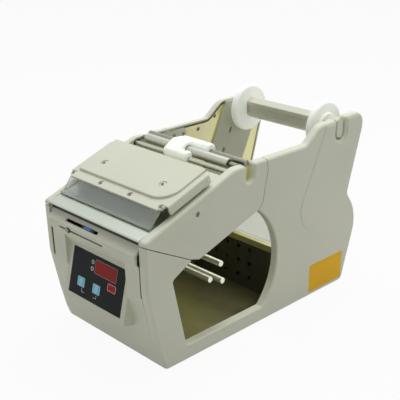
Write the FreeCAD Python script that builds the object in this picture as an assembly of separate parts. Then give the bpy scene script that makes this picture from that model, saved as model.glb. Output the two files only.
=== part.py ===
import FreeCAD, Part
import math
import os
from FreeCAD import Vector

# Label dispenser, in millimetres. x is to the right, s runs back from the cheeks' front edge, z is up.

# Driving sizes of the whole body
body_width = 200.0
body_length = 412.5
wall_depth = 12.0          # how far each side moulding reaches inwards
skin = 2.5                 # wall of every moulding
outer_round = 4.2
seam_round = 0.9
bay_edge_round = 2.2
band_step = 0.9            # how far the post's band stands proud of the mouldings
foot_lift = 1.6            # floor to the underside of the mouldings
visor_reach = 4.9          # visor in front of the cheeks
seam_gap = 0.8
part_gap = 0.3             # between parts that don't touch

# Side silhouette
deck_slope = 0.36
nose_height = 180.0
nose_round = 8.0
wall_top = 233.4
rise_inset = 126.5          # from the rear end to the foot of the post's rise
rise_run = 29.0
post_height = 257.0
post_face_height = 234.0    # where the post's rear face turns in
bar_inset = 52.9            # from the rear end to the roll bar
bar_slot_half = 10.4
bar_slot_floor = 225.0
rear_neck_height = 140.0
rear_neck_depth = 26.5
rear_bulge_height = 101.7
rear_lean = 0.2956
rear_foot_inset = 28.3
rod_slot_station = 174.9
rod_slot_half = 7.3
rod_slot_floor = 209.6
slot_corner = 4.6

# Bay opening and the seam round the upper casing
bay_station = 138.4
bay_height = 90.0
bay_radius = 94.0
bay_floor = 23.0
bay_front_foot = 64.4
bay_front_corner = (42.3, 119.2)
cheek_tip = (72.3, 135.0)
seam_front = (86.0, 133.4)
seam_rear = (190.5, 167.6)
seam_notch = (198.8, 175.0)
seam_back = (207.7, 219.7)
bay_round = 5.0

# Band on the post
band_inset = 101.0
band_height = 140.0
band_half = 33.4
band_rise = 65.2
channel_sheet = 3.0
channel_margin = 3.5
channel_windows = ((82.0, 208.0), (97.1, 178.0))     # from the rear end, and height
channel_window_half = (4.0, 4.6)

# Steel work
plate_sheet = 2.0
plate_inset = 5.2
deck_drop = 4.0
deck_sheet = 3.0
deck_rear = 137.0
deck_front = 56.0
base_height = 6.0
base_sheet = 1.5
base_front = 36.0
foot_radius = 8.0
foot_inset = 28.0
foot_hole_radius = 2.6
front_foot = 58.0
rear_foot_station_inset = 62.5
label_recess = (108.0, 32.0, 7.5, 50.5)      # bare label's place on the right, from the rear end, and z limits
label_depth = 0.2
box_length = 116.5
box_height = 86.0
box_inset = 11.0
box_sheet = 1.2
box_top_sheet = 1.5
box_return = 14.0
rear_panel_inset = 40.5
rear_panel_sheet = 1.5
vent_pitch = 22.3
vent_radius = 3.0
vent_columns = 5
vent_rows = 3
vent_start = (-60.8, 23.3)
rear_vent_pitch = 11.0
rear_vent_radius = 2.2
rear_vent_columns = 7
rear_vent_rows = 3
rear_vent_start = (-66.0, 36.0)

# Electrics
inlet_place = (42.0, 34.0)
inlet_size = (27.5, 20.0)
rocker_place = (42.0, 62.0)
rocker_size = (19.4, 12.8)
rocker_half = 8.0
rocker_throw = 12.0
supply_left = -56.0
supply_right = 72.0
supply_length = 52.0
supply_gap = 6.0           # to the rear panel
supply_stand = 5.0
supply_sheet = 1.6

# Front
panel_tilt_rise = 59.5     # height of the membrane's span
panel_tilt_run = 14.0      # how far it leans back over that height
panel_foot = (-2.3, 68.2)
panel_half_width = 51.5
panel_margin = 8.0
panel_head = 1.5            # plate above the membrane
recess_top = 151.0          # where the recess meets the visor's front
visor_shelf = 2.6
slit_foot = 106.0           # gap beside the fascia, from here up to the visor
slit_head = 168.0
slit_width = 2.6
membrane_left = -52.0
membrane_sheet = 0.5
key_travel = 0.5
key_size = (14.0, 12.4)
key_corner = 1.6
key_height = 19.5
up_key_x = -29.0
down_key_x = 1.8
reset_key_x = 30.0
reset_key_height = 30.4
reset_key_size = (16.0, 9.6)
window_box = (-5.9, 35.6, 38.8, 55.7)
lamp_places = ((-11.6, 51.4), (-11.6, 42.6))
lamp_radius = 1.5
visor_rear = (7.3, 172.3)
visor_edge = (-4.9, 162.0)
visor_step = 1.9            # how far the groove's face lies behind the visor's edge
sensor_slot = (-52.0, 12.0)
sensor_slot_width = 4.6
screw_groove = (-63.0, 24.0)
screw_groove_height = 154.6
board_depth = 10.0
board_sheet = 1.6
sensor_width = 22.0
sensor_x = -7.5
lock_screw_x = -44.0
lock_screw_radius = 3.2
sensor_rail = (9.5, 156.0)
sensor_rail_radius = 2.0

# Peel plate and lid
peel_front = 0.7
peel_height = 180.7
peel_sheet = 1.5
peel_length = 57.0
peel_return = 12.0
lid_inset = 7.0
lid_front = 40.5
lid_rear = 124.0
lid_lip_height = 16.0
lid_raise = 3.0
lid_flange_floor = 4.0
lid_lip_depth = 14.0
lid_lip_inset = 5.0
lid_corner = 7.0
lid_dish = 0.5              # depth of the round seats of its screws
lid_sheet = 2.6
lid_axis = (118.5, 9.5)
lid_pin_radius = 2.0
ear_wall = 1.6             # round the hinge pin
ear_width = 6.0
clear_sheet = 2.0
clear_lip = 3.9             # height of its thick front edge
clear_inset = 7.2
clear_front = (18.0, 186.0)

# Rods, tube and label guide
front_rod = (148.0, 226.5)
front_rod_radius = 3.3
tube_axis = (161.5, 232.0)
tube_radius = 6.5
tube_bore = 4.6
tube_inset = 13.0
rear_rod = (176.0, 233.2)
rear_rod_radius = 4.1
slide_clearance = 0.08
running_clearance = 0.05
bracket_rear = 241.0
bracket_floor = 198.0
bracket_sheet = 1.8
guide_left = -27.0
guide_web_end = 1.5
guide_front_end = 16.0
guide_rear_end = 29.0
guide_crown = 6.0
guide_tunnel_gap = 1.6
guide_front_boss = (148.6, 229.2, 7.6)
guide_rear_boss = (176.4, 235.8, 8.4)

# Roll bar and discs
bar_half_width = 9.5
bar_shoulder = 11.0
bar_keel = 8.4              # where the sides turn in below the axis
bar_rise = 17.0             # the bar's ridge above the discs' axis
bar_drop = 15.0
bar_full_reach = 3.0        # into the side plate's thickness
bar_end_inset = 3.0
bar_tab_half = 6.6
bar_tab_lift = 3.0
bar_groove = (-6.5, 5.8, 3.4)
disc_radius = 35.2
disc_thickness = 11.0
disc_round = 4.4
disc_hub = 2.5
disc_hub_radius = 19.0
left_disc_inset = 14.0
right_disc_inset = 20.0

# Take-up spindle and its drive
spindle_rod_radius = 4.0
spindle_circle = 14.5
spindle_angles = (69.0, -55.0, 190.0)
spindle_inset = 8.0
hub_radius = 23.0
hub_thickness = 7.0
shaft_radius = 5.0
bush_radius = 8.0
bush_flange = 11.0
takeup_pulley_radius = 22.0
takeup_motor_offset = (34.5, 52.0)      # behind the box's front, and height
motor_pulley_radius = 8.0
motor_radius = 18.5
motor_length = 58.0
takeup_spindle_radius = 3.0
belt_sheet = 1.2
belt_width = 5.0

# Feed drive
feed_roller = (58.0, 172.0)
feed_radius = 12.0
feed_inset = 14.0
pinch_angle = -50.0
pinch_radius = 8.0
roller_shaft_radius = 3.0
feed_pulley_radius = 11.0
feed_motor_place = (31.0, 135.5)
feed_motor_radius = 12.5
feed_motor_length = 56.0
feed_motor_pulley = 6.0
feed_spindle_radius = 2.0
feed_block_gap = 1.0
feed_block_inset = 8.0

# Screws
front_cover_screws = ((83.0, 193.0), (37.0, 20.0))
rear_cover_screws = ((94.5, 150.0), (82.5, 22.0))      # from the rear end, and height
cover_screw_radius = 3.2
screw_pad = 2.5
screw_sink = 1.6
bracket_screw_places = ((217.0, 222.5), (235.0, 221.5))
plate_screws = ((146.5, 221.5), (112.5, 235.0))        # from the rear end, and height
bracket_screw_radius = 2.6
shank_share = 0.45

# Sizes that follow from those above
half_width = body_width / 2
inner_x = half_width - wall_depth
plate_outer = inner_x + plate_sheet
shell_x = half_width - band_step
slope_angle = math.degrees(math.atan(deck_slope))
slope_end = (wall_top - nose_height) / deck_slope
row_centre = (body_length - visor_reach) / 2
lean = math.hypot(panel_tilt_rise, panel_tilt_run)
rear_foot = body_length - rear_foot_inset
rise_start = body_length - rise_inset
bar_station = body_length - bar_inset
band_station = body_length - band_inset
rear_panel_station = body_length - rear_panel_inset
box_front = rear_panel_station - box_length
box_half_width = inner_x - box_inset
label_front = body_length - label_recess[0]
label_rear = body_length - label_recess[1]
foot_stations = (front_foot, body_length - rear_foot_station_inset)
takeup_place = (bay_station, bay_height - 2)
takeup_motor_place = (box_front + takeup_motor_offset[0], takeup_motor_offset[1])
bar_centre = (bar_station, bar_slot_floor + part_gap + bar_drop)
bar_full_end = inner_x + bar_full_reach
bar_end = half_width - bar_end_inset
left_disc_x = left_disc_inset - inner_x
right_disc_x = inner_x - right_disc_inset
lid_half_width = half_width - lid_inset
clear_half_width = lid_half_width - clear_inset
ear_x = (lid_half_width - lid_sheet - part_gap - ear_width, lid_half_width - lid_sheet - part_gap)
tube_end = inner_x - tube_inset
spindle_end = inner_x - spindle_inset
spindle_front = -inner_x + 1.2
pulley_low = -shell_x + skin + 0.6
pulley_high = pulley_low + belt_width + 0.2
feed_half = inner_x - feed_inset
feed_block_low = feed_half + feed_block_gap
feed_block_high = inner_x - part_gap
feed_block_inner = inner_x - feed_block_inset
feed_belt_low = -inner_x + 1.0
feed_belt_high = feed_belt_low + belt_width
rear_screws = [(body_length - inset, height) for inset, height in rear_cover_screws]
cover_screw_places = [front_cover_screws[0]] + rear_screws + [front_cover_screws[1]]
plate_screw_places = [(body_length - inset, height) for inset, height in plate_screws]
keys = {
    "up_key": (up_key_x, key_height, key_size),
    "down_key": (down_key_x, key_height, key_size),
    "reset_key": (reset_key_x, reset_key_height, reset_key_size),
}


def move(shape, x=0.0, s=0.0, z=0.0):
    moved = shape.copy()
    moved.translate(Vector(x, s, z))
    return moved


def outline(corners, x=0.0):
    # Closed face in the side plane from corners (s, z, radius), each rounded by its own radius.
    bends = []
    count = len(corners)
    for index in range(count):
        s, z, radius = corners[index]
        here = Vector(x, s, z)
        before = Vector(x, *corners[index - 1][:2]) - here
        after = Vector(x, *corners[(index + 1) % count][:2]) - here
        before.normalize()
        after.normalize()
        if radius == 0:
            bends.append((here, None, here))
            continue
        half = before.getAngle(after) / 2
        reach = radius / math.tan(half)
        inward = before + after
        inward.normalize()
        middle = here + inward * (radius / math.sin(half) - radius)
        bends.append((here + before * reach, middle, here + after * reach))
    edges = []
    for index in range(count):
        start, middle, end = bends[index]
        if middle is not None:
            edges.append(Part.Arc(start, middle, end).toShape())
        following = bends[(index + 1) % count][0]
        if (following - end).Length > 1e-6:
            edges.append(Part.LineSegment(end, following).toShape())
    return Part.Face(Part.Wire(edges))


def slab(face, low, high):
    return move(face, low).extrude(Vector(high - low, 0, 0))


def block(x_low, x_high, s_low, s_high, z_low, z_high):
    corner = Vector(x_low, s_low, z_low)
    return Part.makeBox(x_high - x_low, s_high - s_low, z_high - z_low, corner)


def rod(place, radius, x_low, x_high):
    return Part.makeCylinder(radius, x_high - x_low, Vector(x_low, place[0], place[1]), Vector(1, 0, 0))


def post(x, s, radius, z_low, z_high):
    return Part.makeCylinder(radius, z_high - z_low, Vector(x, s, z_low), Vector(0, 0, 1))


def round_ends(shape, radius, plane_x):
    # Rounds every edge that lies in the plane x = plane_x.
    rim = []
    for edge in shape.Edges:
        box = edge.BoundBox
        if abs(box.XMin - plane_x) < 1e-4 and abs(box.XMax - plane_x) < 1e-4:
            rim.append(edge)
    return shape.makeFillet(radius, rim)


def mirror(shape):
    return shape.mirror(Vector(0, 0, 0), Vector(1, 0, 0))


def join(shapes):
    whole = shapes[0]
    for shape in shapes[1:]:
        whole = whole.fuse(shape)
    return whole.removeSplitter()


def cut(shape, tools):
    for tool in tools:
        shape = shape.cut(tool)
    return shape


def slope_height(s):
    return nose_height + deck_slope * s


def on_slope(shape):
    # From flat lid sizes (y = way up the slope, z = height above it) to the sloped place.
    placed = shape.copy()
    placed.rotate(Vector(0, 0, 0), Vector(1, 0, 0), slope_angle)
    placed.translate(Vector(0, 0, nose_height))
    return placed


def slope_point(along, height):
    angle = math.radians(slope_angle)
    return (along * math.cos(angle) - height * math.sin(angle),
            nose_height + along * math.sin(angle) + height * math.cos(angle))


def on_panel(shape):
    # From flat panel sizes (z = way up the panel, y = depth behind its face) to the tilted place.
    placed = shape.copy()
    placed.rotate(Vector(0, 0, 0), Vector(1, 0, 0), -math.degrees(math.atan(panel_tilt_run / panel_tilt_rise)))
    placed.translate(Vector(0, *panel_foot))
    return placed


# Side outlines
def bar_slot_corners():
    return [
        (bar_station - bar_slot_half, post_height - 1.5, slot_corner),
        (bar_station - bar_slot_half, bar_slot_floor, bar_slot_half),
        (bar_station + bar_slot_half, bar_slot_floor, bar_slot_half),
        (bar_station + bar_slot_half, post_height, slot_corner),
    ]


def rod_slot_corners():
    return [
        (rod_slot_station - rod_slot_half, wall_top, slot_corner),
        (rod_slot_station - rod_slot_half, rod_slot_floor, rod_slot_half),
        (rod_slot_station + rod_slot_half, rod_slot_floor, rod_slot_half),
        (rod_slot_station + rod_slot_half, wall_top, slot_corner),
    ]


def silhouette(notched=True):
    neck = body_length - rear_neck_depth
    bulge = rear_foot + rear_lean * rear_bulge_height
    front = [
        (29.5, foot_lift, 8),
        (22.5, 20.5, 30),
        (14.3, 53.6, 30),
        (2.5, 110.0, 60),
        (0.0, nose_height, nose_round * 0.7),
        (slope_end, wall_top, 15),
    ]
    rear = [
        (rise_start, wall_top, 14),
        (rise_start + rise_run, post_height - 2, 22),
    ]
    back = [
        (body_length, post_height, 16),
        (body_length, post_face_height, 20),
        (neck, rear_neck_height, 10),
        (bulge, rear_bulge_height, 60),
        (rear_foot, foot_lift, 9),
    ]
    notch = rod_slot_corners() if notched else []
    return outline(front + notch + rear + bar_slot_corners() + back)


def casing_zone():
    # The part of the silhouette that belongs to the upper casing.
    far = 60.0
    return outline([
        (-far, nose_height - 4.5 + far * 0.52, 0),
        (-far, wall_top + far, 0),
        (seam_back[0] - 2.7, wall_top + far, 0),
        (seam_back[0] - 2.7, wall_top, 0),
        (seam_back[0], seam_back[1], 4),
        (seam_notch[0], seam_notch[1], 7),
        (seam_rear[0], seam_rear[1], 2),
        (seam_front[0], seam_front[1], 5),
        (70.6, 138.4, 0),
        (0.0, nose_height - 4.5, 0),
    ])


def bay_zone(grown=0.0):
    rise = (seam_rear[1] - seam_front[1]) / (seam_rear[0] - seam_front[0])
    far = 260.0
    frame = outline([
        (cheek_tip[0], cheek_tip[1], 0),
        (bay_front_corner[0], bay_front_corner[1], bay_round),
        (bay_front_foot, bay_floor, bay_round),
        (far, bay_floor, 0),
        (far, seam_rear[1] + rise * (far - seam_rear[0]) + 1.0, 0),
        (seam_front[0], seam_front[1] + 1.0, 0),
        (cheek_tip[0] + 1.5, cheek_tip[1] + 7.0, 0),
    ])
    sweep = rod((bay_station, bay_height), bay_radius, -1, 1)
    sweep = sweep.fuse(block(-1, 1, 0, bay_station, -far, far))
    zone = slab(frame, -0.5, 0.5).common(sweep).common(block(-2, 0, 0, far, -far, far))
    face = [side for side in zone.Faces if abs(side.CenterOfMass.x) < 1e-6][0]
    if grown > 0:
        face = face.makeOffset2D(grown, join=0)
    return face


def lower_face(open_bay):
    face = silhouette().cut(casing_zone().makeOffset2D(seam_gap, join=2))
    if open_bay:
        face = face.cut(bay_zone())
    return biggest(face.Faces)


def biggest(faces):
    return max(faces, key=lambda face: face.Area)


def rim_edges(solid, kind, gap):
    # Edges of the outer face along the seam, the bay opening or the outline.
    seam = casing_zone().OuterWire
    bay = bay_zone().OuterWire
    chosen = []
    for edge in solid.Edges:
        box = edge.BoundBox
        if abs(box.XMin - shell_x) > 1e-4 or abs(box.XMax - shell_x) > 1e-4:
            continue
        middle = edge.valueAt((edge.FirstParameter + edge.LastParameter) / 2)
        spot = Part.Vertex(Vector(0, middle.y, middle.z))
        if seam.distToShape(spot)[0] < gap + 0.1:
            found = "seam"
        elif bay.distToShape(spot)[0] < 0.05:
            found = "bay"
        else:
            found = "outline"
        if found == kind:
            chosen.append(edge)
    return chosen


def moulded_side(face, gap, open_bay, pocket_cut=None):
    # A side moulding: skin outside, a rim all round, open towards the middle.
    outer = slab(face, inner_x, shell_x)
    for kind, radius in (("outline", outer_round), ("bay", bay_edge_round), ("seam", seam_round)):
        edges = rim_edges(outer, kind, gap)
        if edges:
            outer = outer.makeFillet(radius, edges)
    hollow = slab(face.makeOffset2D(-skin, join=2), inner_x - 1, shell_x - skin)
    if pocket_cut is not None:
        hollow = hollow.cut(pocket_cut)
    relief = slab(plate_face(open_bay).makeOffset2D(0.25, join=2), inner_x - 1, plate_outer + 0.05)
    return outer.cut(hollow).cut(relief)


# Moulded covers
def band(half, low, high, length=140.0):
    # Rounded band that climbs the rear post, between x = low and x = high.
    run = block(low, high, 0, length, -half, half)
    end = rod((0, 0), half, low, high)
    whole = run.fuse(end)
    whole.rotate(Vector(0, 0, 0), Vector(1, 0, 0), band_rise)
    return move(whole, 0, band_station, band_height)


def cover(open_bay):
    shell = moulded_side(lower_face(open_bay), seam_gap, open_bay)
    field = biggest(silhouette().makeOffset2D(-outer_round, join=2).Faces)
    raised = slab(field, shell_x - 1, half_width).common(band(band_half, shell_x - 2, half_width + 1))
    raised = round_ends(raised, band_step * 0.8, half_width)
    pads = [cover_screw_pad(place) for place in cover_screw_places[1:]]
    shell = join([shell, raised] + pads)
    holes = []
    for place in cover_screw_places[1:]:
        holes += cover_screw_hole(place)
    if open_bay:
        holes.append(block(shell_x - label_depth, half_width + 1, label_front, label_rear, *label_recess[2:]))
    return cut(shell, holes)


def cover_screw_pad(place):
    return rod(place, cover_screw_radius + screw_pad, plate_outer + running_clearance, shell_x - skin / 2)


def cover_screw_hole(place):
    sink = rod(place, cover_screw_radius + 0.2, shell_x - screw_sink, half_width + 1)
    return [sink, rod(place, cover_screw_radius * shank_share + 0.05, plate_outer, half_width)]


def casing_side():
    face = biggest(silhouette().common(casing_zone()).Faces)
    top_zone = outline([
        (-20, slope_height(-20) - deck_drop - deck_sheet, 0),
        (deck_rear + 6, slope_height(deck_rear + 6) - deck_drop - deck_sheet, 0),
        (deck_rear + 6, wall_top + 40, 0),
        (-20, wall_top + 40, 0),
    ])
    side = moulded_side(face, 0.0, False, slab(top_zone, inner_x - 2, half_width + 2))
    side = join([side, cover_screw_pad(cover_screw_places[0])])
    return cut(side, cover_screw_hole(cover_screw_places[0]))


def hinge_ear(x_low, x_high):
    station, height = slope_point(*lid_axis)
    foot = slope_height(station) - deck_drop - 1.0
    ear = rod((station, height), lid_pin_radius + ear_wall, x_low, x_high)
    stem = block(x_low, x_high, station - lid_pin_radius - ear_wall, station + 3.0, foot, height)
    return ear.fuse(stem)


def upper_casing():
    side = casing_side()
    deck = outline([
        (deck_front, slope_height(deck_front) - deck_drop, 0),
        (deck_rear, slope_height(deck_rear) - deck_drop, 1.2),
        (deck_rear, slope_height(deck_rear) - deck_drop - deck_sheet, 0),
        (deck_front, slope_height(deck_front) - deck_drop - deck_sheet, 0),
    ])
    reach = inner_x + 1.0
    lip_height = slope_height(deck_rear) - deck_drop - 2
    lip = block(-inner_x + part_gap, inner_x - part_gap, deck_rear - skin, deck_rear, lip_height - 7, lip_height)
    ears = [hinge_ear(*ear_x)]
    ears.append(mirror(ears[0]))
    casing = join([side, mirror(side), slab(deck, -reach, reach), lip] + ears)
    pin_holes = rod(slope_point(*lid_axis), lid_pin_radius, -half_width, half_width)
    return casing.cut(pin_holes)


def plate_face(open_bay):
    face = biggest(silhouette(False).makeOffset2D(-plate_inset, join=2).Faces)
    clear = deck_drop + deck_sheet + 0.8
    head = outline([
        (-20, slope_height(-20) - clear, 0),
        (deck_rear + 8, slope_height(deck_rear + 8) - clear, 0),
        (deck_rear + 8, wall_top + 40, 0),
        (-20, wall_top + 40, 0),
    ])
    face = face.cut(head)
    if open_bay:
        face = face.cut(bay_zone(plate_inset))
    return biggest(face.Faces)


def shaft_holes():
    return [
        rod(takeup_place, bush_radius, -half_width, 0),
        rod(takeup_motor_place, shaft_radius + 1.5, -half_width, 0),
    ]


def screw_hole(place, radius):
    return rod(place, radius * shank_share + 0.05, 0, half_width - skin)


def side_plate(open_bay):
    plate = slab(plate_face(open_bay), inner_x, plate_outer)
    rods = ((front_rod, front_rod_radius), (rear_rod, rear_rod_radius))
    holes = [rod(place, radius + 0.4, 0, half_width) for place, radius in rods]
    holes += [screw_hole(place, bracket_screw_radius) for place in bracket_screw_places]
    holes += [screw_hole(place, cover_screw_radius) for place in plate_screw_places]
    plate = cut(plate, holes)
    if not open_bay:
        plate = cut(mirror(plate), shaft_holes())
    return plate


def bar_channel():
    face = silhouette().makeOffset2D(-skin, join=2)
    strip = slab(biggest(face.Faces), inner_x - channel_sheet, inner_x)
    strip = strip.common(band(band_half + channel_margin, inner_x - channel_sheet - 1, inner_x + 1))
    strip = strip.cut(block(inner_x - channel_sheet - 2, inner_x + 1, 0, body_length, 0, box_height + 1))
    windows = []
    half_s, half_z = channel_window_half
    for inset, height in channel_windows:
        window = block(inner_x - channel_sheet - 2, inner_x + 1, -half_s, half_s, -half_z, half_z)
        window.rotate(Vector(0, 0, 0), Vector(1, 0, 0), band_rise - 90)
        windows.append(move(window, 0, body_length - inset, height))
    return cut(strip, windows)


def rod_bracket():
    top = wall_top - 3.2
    front = front_rod[0] - 9
    face = outline([
        (front, bracket_floor, 2),
        (front, slope_height(front) - deck_drop - deck_sheet - 1.5, 2),
        (slope_end + 8, top, 4),
        (bracket_rear, top, 7),
        (bracket_rear, bracket_floor, 7),
    ])
    bracket = slab(face, inner_x - bracket_sheet, inner_x)
    holes = [
        rod(front_rod, front_rod_radius, 0, half_width),
        rod(tube_axis, roller_shaft_radius, 0, half_width),
        rod(rear_rod, rear_rod_radius, 0, half_width),
    ]
    holes += [screw_hole(place, bracket_screw_radius) for place in bracket_screw_places]
    return cut(bracket, holes)


# Base, rear box and feet
def base_plate():
    width = inner_x - part_gap
    floor = block(-width, width, base_front, rear_panel_station, base_height - base_sheet, base_height)
    holes = [post(x, s, foot_hole_radius, 0, base_height + 1) for x, s in foot_places()]
    return cut(floor, holes)


def foot_places():
    return [(x, s) for x in (foot_inset - half_width, half_width - foot_inset) for s in foot_stations]


def rubber_feet():
    feet = []
    for x, s in foot_places():
        under = base_height - base_sheet
        pad = Part.makeCone(foot_radius - 1, foot_radius, under, Vector(x, s, 0), Vector(0, 0, 1))
        stem = post(x, s, foot_hole_radius - 0.1, base_height - base_sheet - 0.5, base_height + 1.5)
        feet.append(pad.fuse(stem))
    return Part.makeCompound(feet)


def rear_box_panel():
    top = box_height - box_top_sheet
    sheet = block(-box_half_width, box_half_width, box_front, box_front + box_sheet, base_height, top)
    sides = []
    for x in (-box_half_width, box_half_width - box_sheet):
        sides.append(block(x, x + box_sheet, box_front, box_front + box_return, base_height, top))
    panel = join([sheet] + sides)
    holes = []
    for column in range(vent_columns):
        for row in range(vent_rows):
            place = Vector(vent_start[0] + column * vent_pitch, box_front - 1, vent_start[1] + row * vent_pitch)
            holes.append(Part.makeCylinder(vent_radius, 4, place, Vector(0, 1, 0)))
    return cut(panel, holes)


def rear_box_top():
    width = inner_x - part_gap
    front = box_front - box_sheet - 0.05
    sheet = block(-width, width, front, rear_panel_station, box_height - box_top_sheet, box_height)
    lip = block(-width, width, front, box_front - 0.05, box_height - 9, box_height)
    return join([sheet, lip])


def rear_panel():
    width = inner_x - part_gap
    rear = rear_panel_station + rear_panel_sheet
    sheet = block(-width, width, rear_panel_station, rear, base_height - base_sheet, box_height)
    openings = []
    for place, size in ((inlet_place, inlet_size), (rocker_place, rocker_size)):
        openings.append(block(place[0] - size[0] / 2, place[0] + size[0] / 2, rear_panel_station - 1, rear + 1,
                              place[1] - size[1] / 2, place[1] + size[1] / 2))
    for column in range(rear_vent_columns):
        for row in range(rear_vent_rows):
            place = Vector(rear_vent_start[0] + column * rear_vent_pitch, rear_panel_station - 1,
                           rear_vent_start[1] + row * rear_vent_pitch)
            openings.append(Part.makeCylinder(rear_vent_radius, 4, place, Vector(0, 1, 0)))
    return cut(sheet, openings)


def power_inlet():
    # One moulding with the mains inlet below and the switch frame above.
    x, z = inlet_place
    width, height = inlet_size
    rocker_z = rocker_place[1]
    rocker_width, rocker_height = rocker_size
    face = rear_panel_station + rear_panel_sheet
    flange = block(x - 20, x + 20, face, face + 2.5, z - height / 2 - 2, rocker_z + rocker_height / 2 + 2)
    edges = [edge for edge in flange.Edges if edge.BoundBox.YLength > 1]
    flange = flange.makeFillet(2.5, edges)
    body = block(x - width / 2 + 0.1, x + width / 2 - 0.1, face - 22, face + 0.5, z - height / 2 + 0.1,
                 z + height / 2 - 0.1)
    case = block(x - rocker_width / 2 + 0.1, x + rocker_width / 2 - 0.1, face - 16, face + 0.5,
                 rocker_z - rocker_height / 2 + 0.1, rocker_z + rocker_height / 2 - 0.1)
    mouth = block(x - 11.5, x + 11.5, face - 14, face + 4, z - 7.5, z + 7.5)
    edges = [edge for edge in mouth.Edges if edge.BoundBox.YLength > 1 and edge.BoundBox.ZMin > z]
    mouth = mouth.makeChamfer(3.5, edges)
    well = block(x - rocker_half, x + rocker_half, face - 9, face + 3, rocker_z - 4.6, rocker_z + 4.6)
    pins = [block(x + offset - 1, x + offset + 1, face - 15, face, z - 4 + lift, z + lift)
            for offset, lift in ((-7, 1), (0, 4), (7, 1))]
    return join([cut(join([flange, body, case]), [mouth, well])] + pins)


def power_rocker():
    # A shallow V seen from above: each half is flush when the other is raised.
    x, z = rocker_place
    face = rear_panel_station + rear_panel_sheet
    half = rocker_half - 0.6
    rise = half * math.tan(math.radians(rocker_throw / 2))
    points = [
        Vector(x - half, face + 2 + rise, z - 4.3),
        Vector(x, face + 1.2, z - 4.3),
        Vector(x + half, face + 2 + rise, z - 4.3),
        Vector(x + half * 0.55, face - 5, z - 4.3),
        Vector(x - half * 0.55, face - 5, z - 4.3),
        Vector(x - half, face + 2 + rise, z - 4.3),
    ]
    rocker = Part.Face(Part.makePolygon(points)).extrude(Vector(0, 0, 8.6))
    rocker.rotate(Vector(x, face - 3, z), Vector(0, 0, 1), -rocker_throw / 2)
    return rocker


# Front fascia and control panel
def fascia_front():
    # Outer line of the fascia from its foot up to the visor.
    return [
        (29.5, foot_lift, 8),
        (22.5, 20.5, 30),
        (14.3, 53.6, 30),
        (3.4, 104.0, 30),
        (1.8, 146.0, 6),
        (visor_edge[0] + visor_step, visor_edge[1] - 12, 2),
        (visor_edge[0] + visor_step, visor_edge[1] - 3.8, 0.5),
        (visor_edge[0], visor_edge[1] - 2.4, 0.8),
        (visor_edge[0], visor_edge[1], 1.0),
        (visor_rear[0], visor_rear[1], 0),
        (visor_rear[0] + visor_shelf, visor_rear[1], 0),
    ]


def fascia_back():
    # Inner line, from the visor down to the foot.
    return [
        (visor_rear[0] + visor_shelf, visor_rear[1] - skin, 0),
        (visor_rear[0] + 1, visor_rear[1] - skin, 1),
        (visor_edge[0] + skin + visor_step, visor_edge[1] - 0.6, 1),
        (visor_edge[0] + skin + visor_step, visor_edge[1] - 12, 2),
        (1.8 + skin, 145.0, 6),
        (3.4 + skin, 104.4, 30),
        (14.3 + skin, 54.0, 25),
        (22.5 + skin, 20.8, 25),
        (29.5 + skin, foot_lift + skin, 5),
        (42.0, foot_lift + skin, 0),
        (42.0, foot_lift, 0),
    ]


def panel_block(grow, front, depth):
    # Box in panel sizes: side margin, its front face behind the panel face, and how deep it goes.
    half = panel_half_width + panel_margin + grow
    return on_panel(block(-half, half, front, front + depth, -panel_margin - grow, lean + panel_head + grow))


def panel_point(height, depth=0.0):
    # Place in the side plane of a point so far up the panel and behind its face.
    angle = math.atan(panel_tilt_run / panel_tilt_rise)
    return (panel_foot[0] + height * math.sin(angle) + depth * math.cos(angle),
            panel_foot[1] + height * math.cos(angle) - depth * math.sin(angle))


def recess_face(wall):
    # Hollow in front of the panel with its ceiling sloping out to the visor; wall makes the same shape bigger.
    far = -60.0
    edge = visor_edge[0] + visor_step
    head = panel_point(lean + panel_head, wall)
    foot = panel_point(-panel_margin - wall, wall)
    return outline([
        (far, recess_top + wall, 0),
        (edge + wall * 0.4, recess_top + wall, 0),
        (head[0], head[1] + wall * 0.9, 0),
        (foot[0], foot[1], 0),
        (far, foot[1], 0),
    ])


def front_fascia():
    width = inner_x - part_gap
    half = panel_half_width + panel_margin
    far = 90.0
    void = slab(recess_face(0.0), -half, half)
    shell = slab(outline(fascia_front() + fascia_back()), -width, width)
    shell = shell.cut(panel_block(0, -far, 2 * far)).cut(void)
    filled = slab(outline(fascia_front() + [(far, visor_rear[1], 0), (far, foot_lift, 0)]), -width, width)
    inside = slab(outline(fascia_back()[:-1] + [(far, foot_lift + skin, 0), (far, visor_rear[1] - skin, 0)]),
                  -width, width)
    plate = panel_block(0, 0, skin)
    proud_walls = panel_block(0, 0, far / 2).cut(panel_block(-skin, -1, far)).cut(inside)
    recess_walls = slab(recess_face(skin), -half - skin, half + skin).cut(void).common(filled)
    fascia = join([shell, plate, proud_walls, recess_walls])
    slot = slab(visor_slot_face(sensor_slot_width), sensor_slot[0], sensor_slot[1])
    groove = block(screw_groove[0], screw_groove[1], visor_edge[0] - 2, visor_edge[0] + 12,
                   screw_groove_height - 1.2, screw_groove_height + 1.2)
    slits = [block(x, x + slit_width + 1, visor_edge[0] - 5, feed_roller[0], slit_foot, slit_head)
             for x in (-width - 1, width - slit_width)]
    return cut(fascia, [slot, groove] + slits + panel_openings())


def visor_slot_face(width):
    run = visor_rear[0] - visor_edge[0]
    rise = visor_rear[1] - visor_edge[1]
    length = math.hypot(run, rise)
    along = (run / length, rise / length)
    middle = (visor_edge[0] + along[0] * 6.9, visor_edge[1] + along[1] * 6.9)
    corners = []
    for side, depth in ((-1, -4), (1, -4), (1, 6), (-1, 6)):
        shift = side * width / 2
        corners.append((middle[0] + along[0] * shift + along[1] * depth,
                        middle[1] + along[1] * shift - along[0] * depth, 0))
    return outline(corners)


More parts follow.
